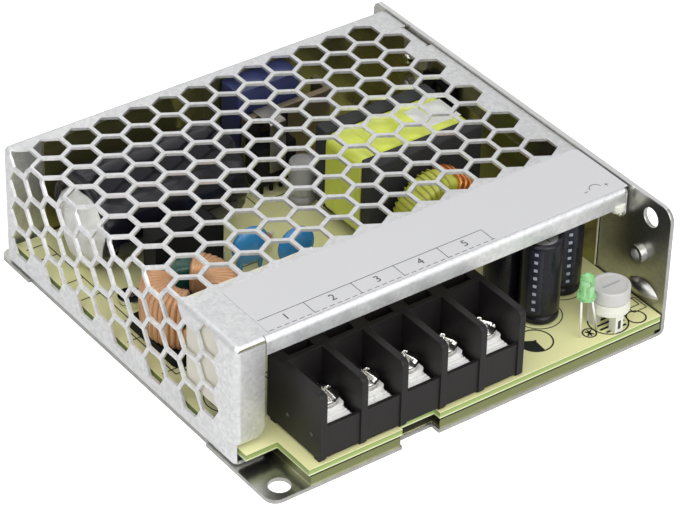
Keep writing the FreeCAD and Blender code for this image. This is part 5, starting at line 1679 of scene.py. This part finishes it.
# Trimmer: its cap is a lathe with a dished top and turns with its slot; the flange under it is a
# coarse lathe, and a dark strip of painted shade stands for the slot at the leg that faces the front.
def buildTrimmer(v):
    softCopy("trimmer_base", v["trimmerRounding"], finishes["trimmerBody"])
    low, high = boxOf("trimmer_knob")
    middle = (low + high) / 2
    radius = (high[0] - low[0]) / 2
    height = high[2] - low[2]
    dished = height - v["capDish"]
    cap = lathe(roundedProfile([
        (0, 0, 0), (radius - 0.25, 0, 0.1), (radius - 0.25, v["capStart"], 0.1),
        (radius, v["capStart"], 0.12), (radius, height, v["capRounding"]), (radius - 0.7, height, 0.1),
        (radius - 0.8, dished, 0.1), (0, dished, 0),
    ]), 64)
    knob = addPiece("trimmerCap", placed(cap, (middle[0], middle[1], low[2])), finishes["trimmerCap"],
                    body=bodyOfNode["trimmer_knob"])
    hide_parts("trimmer_knob")
    reach = v["slotLength"] / 2
    half = v["slotWidth"] / 2
    dish = high[2] - v["capDish"]
    slotLow = (middle[0] - reach, middle[1] - half, dish - 0.3)
    slotHigh = (middle[0] + reach, middle[1] + half, dish + 0.02)
    slot = roundedBox(slotLow, slotHigh, 0.05)
    addPiece("trimmerSlot", slot, finishes["greySleeve"], body=bodyOfNode["trimmer_knob"])
    low, high = boxOf("trimmer_base")
    middle = (low + high) / 2
    flangeTop = boxOf("trimmer_knob")[0][2] + v["capStart"] - 0.15
    flange = lathe(roundedProfile([
        (radius - 0.2, flangeTop - 1.9, 0), (radius + 0.15, flangeTop - 1.9, 0.12),
        (radius + 0.15, flangeTop, 0.15), (radius - 0.2, flangeTop, 0),
    ]), 12)
    addPiece("trimmerFlange", placed(flange, (middle[0], middle[1], 0)), finishes["trimmerBody"])
    floor = boxOf("board")[1][2]
    away = (high[0] - low[0]) / 2 - v["legHalf"] - 0.2
    legX = middle[0] + away * math.cos(math.radians(v["legTurn"]))
    legY = middle[1] + away * math.sin(math.radians(v["legTurn"])) - v["legHalf"]
    slotLow = (legX - 0.35, legY - 0.06, floor + 0.9)
    slotHigh = (legX + 0.35, legY + 0.2, floor + 2.9)
    addPiece("trimmerLegSlotShade", roundedBox(slotLow, slotHigh, 0.05), finishes["recess"])


buildLamp(frontParts)
buildTrimmer(frontParts)
print("lamp and trimmer built")


# Label: a bare film on the front strip with ruled fields and one plain number for each terminal
labelStrip = {
    "rounding": 0.02,
    "lift": 0.02,
    "lineWidth": 0.13,
    "rowFront": -35.9,
    "rowBack": -32.0,
    "fieldStart": -40.0,
    "fieldEnds": (-29.4, -18.3, -8.2, 2.4, 13.4),
    "numbersAt": -33.9,
    "numberSize": 2.7,
    "dash": 1.1,
    "signHalf": 0.45,
    "signAway": 1.2,
    "turnArc": (41.4, -33.6, 1.4),
    "arcSpan": (10, 170),
}


# A number as flat mesh: the font curve is made a mesh, then scaled and moved in its points.
def numberShape(text, size, x, y, z):
    curve = bpy.data.curves.new("number" + text, "FONT")
    curve.body = text
    curve.align_x = "CENTER"
    curve.align_y = "CENTER"
    curve.size = 1
    holder = bpy.data.objects.new("number" + text, curve)
    mesh = bpy.data.meshes.new_from_object(holder)
    points = np.empty(len(mesh.vertices) * 3)
    mesh.vertices.foreach_get("co", points)
    points = points.reshape(-1, 3) * size + np.array([x, y, z])
    faces = [list(polygon.vertices) for polygon in mesh.polygons]
    bpy.data.objects.remove(holder)
    bpy.data.meshes.remove(mesh)
    bpy.data.curves.remove(curve)
    return points, faces


# The film from its solid; ruled fields, a dashed front line, a turning arc with its signs, and numbers.
def buildLabel(v):
    softCopy("label", v["rounding"], finishes["labelFilm"], 1)
    height = boxOf("label")[1][2] + v["lift"]
    width = v["lineWidth"]
    lines = [flatLine((v["fieldStart"], v["rowBack"]), (v["fieldEnds"][-1], v["rowBack"]), width, height)]
    for x in v["fieldEnds"]:
        lines.append(flatLine((x, v["rowFront"]), (x, v["rowBack"]), width, height))
    x = v["fieldStart"]
    while x < v["fieldEnds"][-1]:
        lines.append(flatLine((x, v["rowFront"]), (x + v["dash"], v["rowFront"]), width, height))
        x += v["dash"] * 1.6
    starts = (v["fieldStart"], *v["fieldEnds"][:-1])
    numbers = []
    for number, (start, end) in enumerate(zip(starts, v["fieldEnds"]), 1):
        numbers.append(numberShape(str(number), v["numberSize"], (start + end) / 2, v["numbersAt"], height))
    x, y, radius = v["turnArc"]
    lines.append(flatRing((x, y), radius + width / 2, radius - width / 2, height, *v["arcSpan"], 24))
    half = v["signHalf"]
    away = radius + v["signAway"]
    for middle in (x - away, x + away):
        lines.append(flatLine((middle - half, y), (middle + half, y), width, height))
    lines.append(flatLine((x + away, y - half), (x + away, y + half), width, height))
    addPrint("labelRules", joined(*lines), finishes["labelLine"], 0.015)
    addPrint("labelNumbers", joined(*numbers), finishes["labelLine"], 0.015)


buildLabel(labelStrip)
print("label laid")


# Brings the view layer up to date; no sizes are measured or kept.
def saveSizes():
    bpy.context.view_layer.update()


saveSizes()
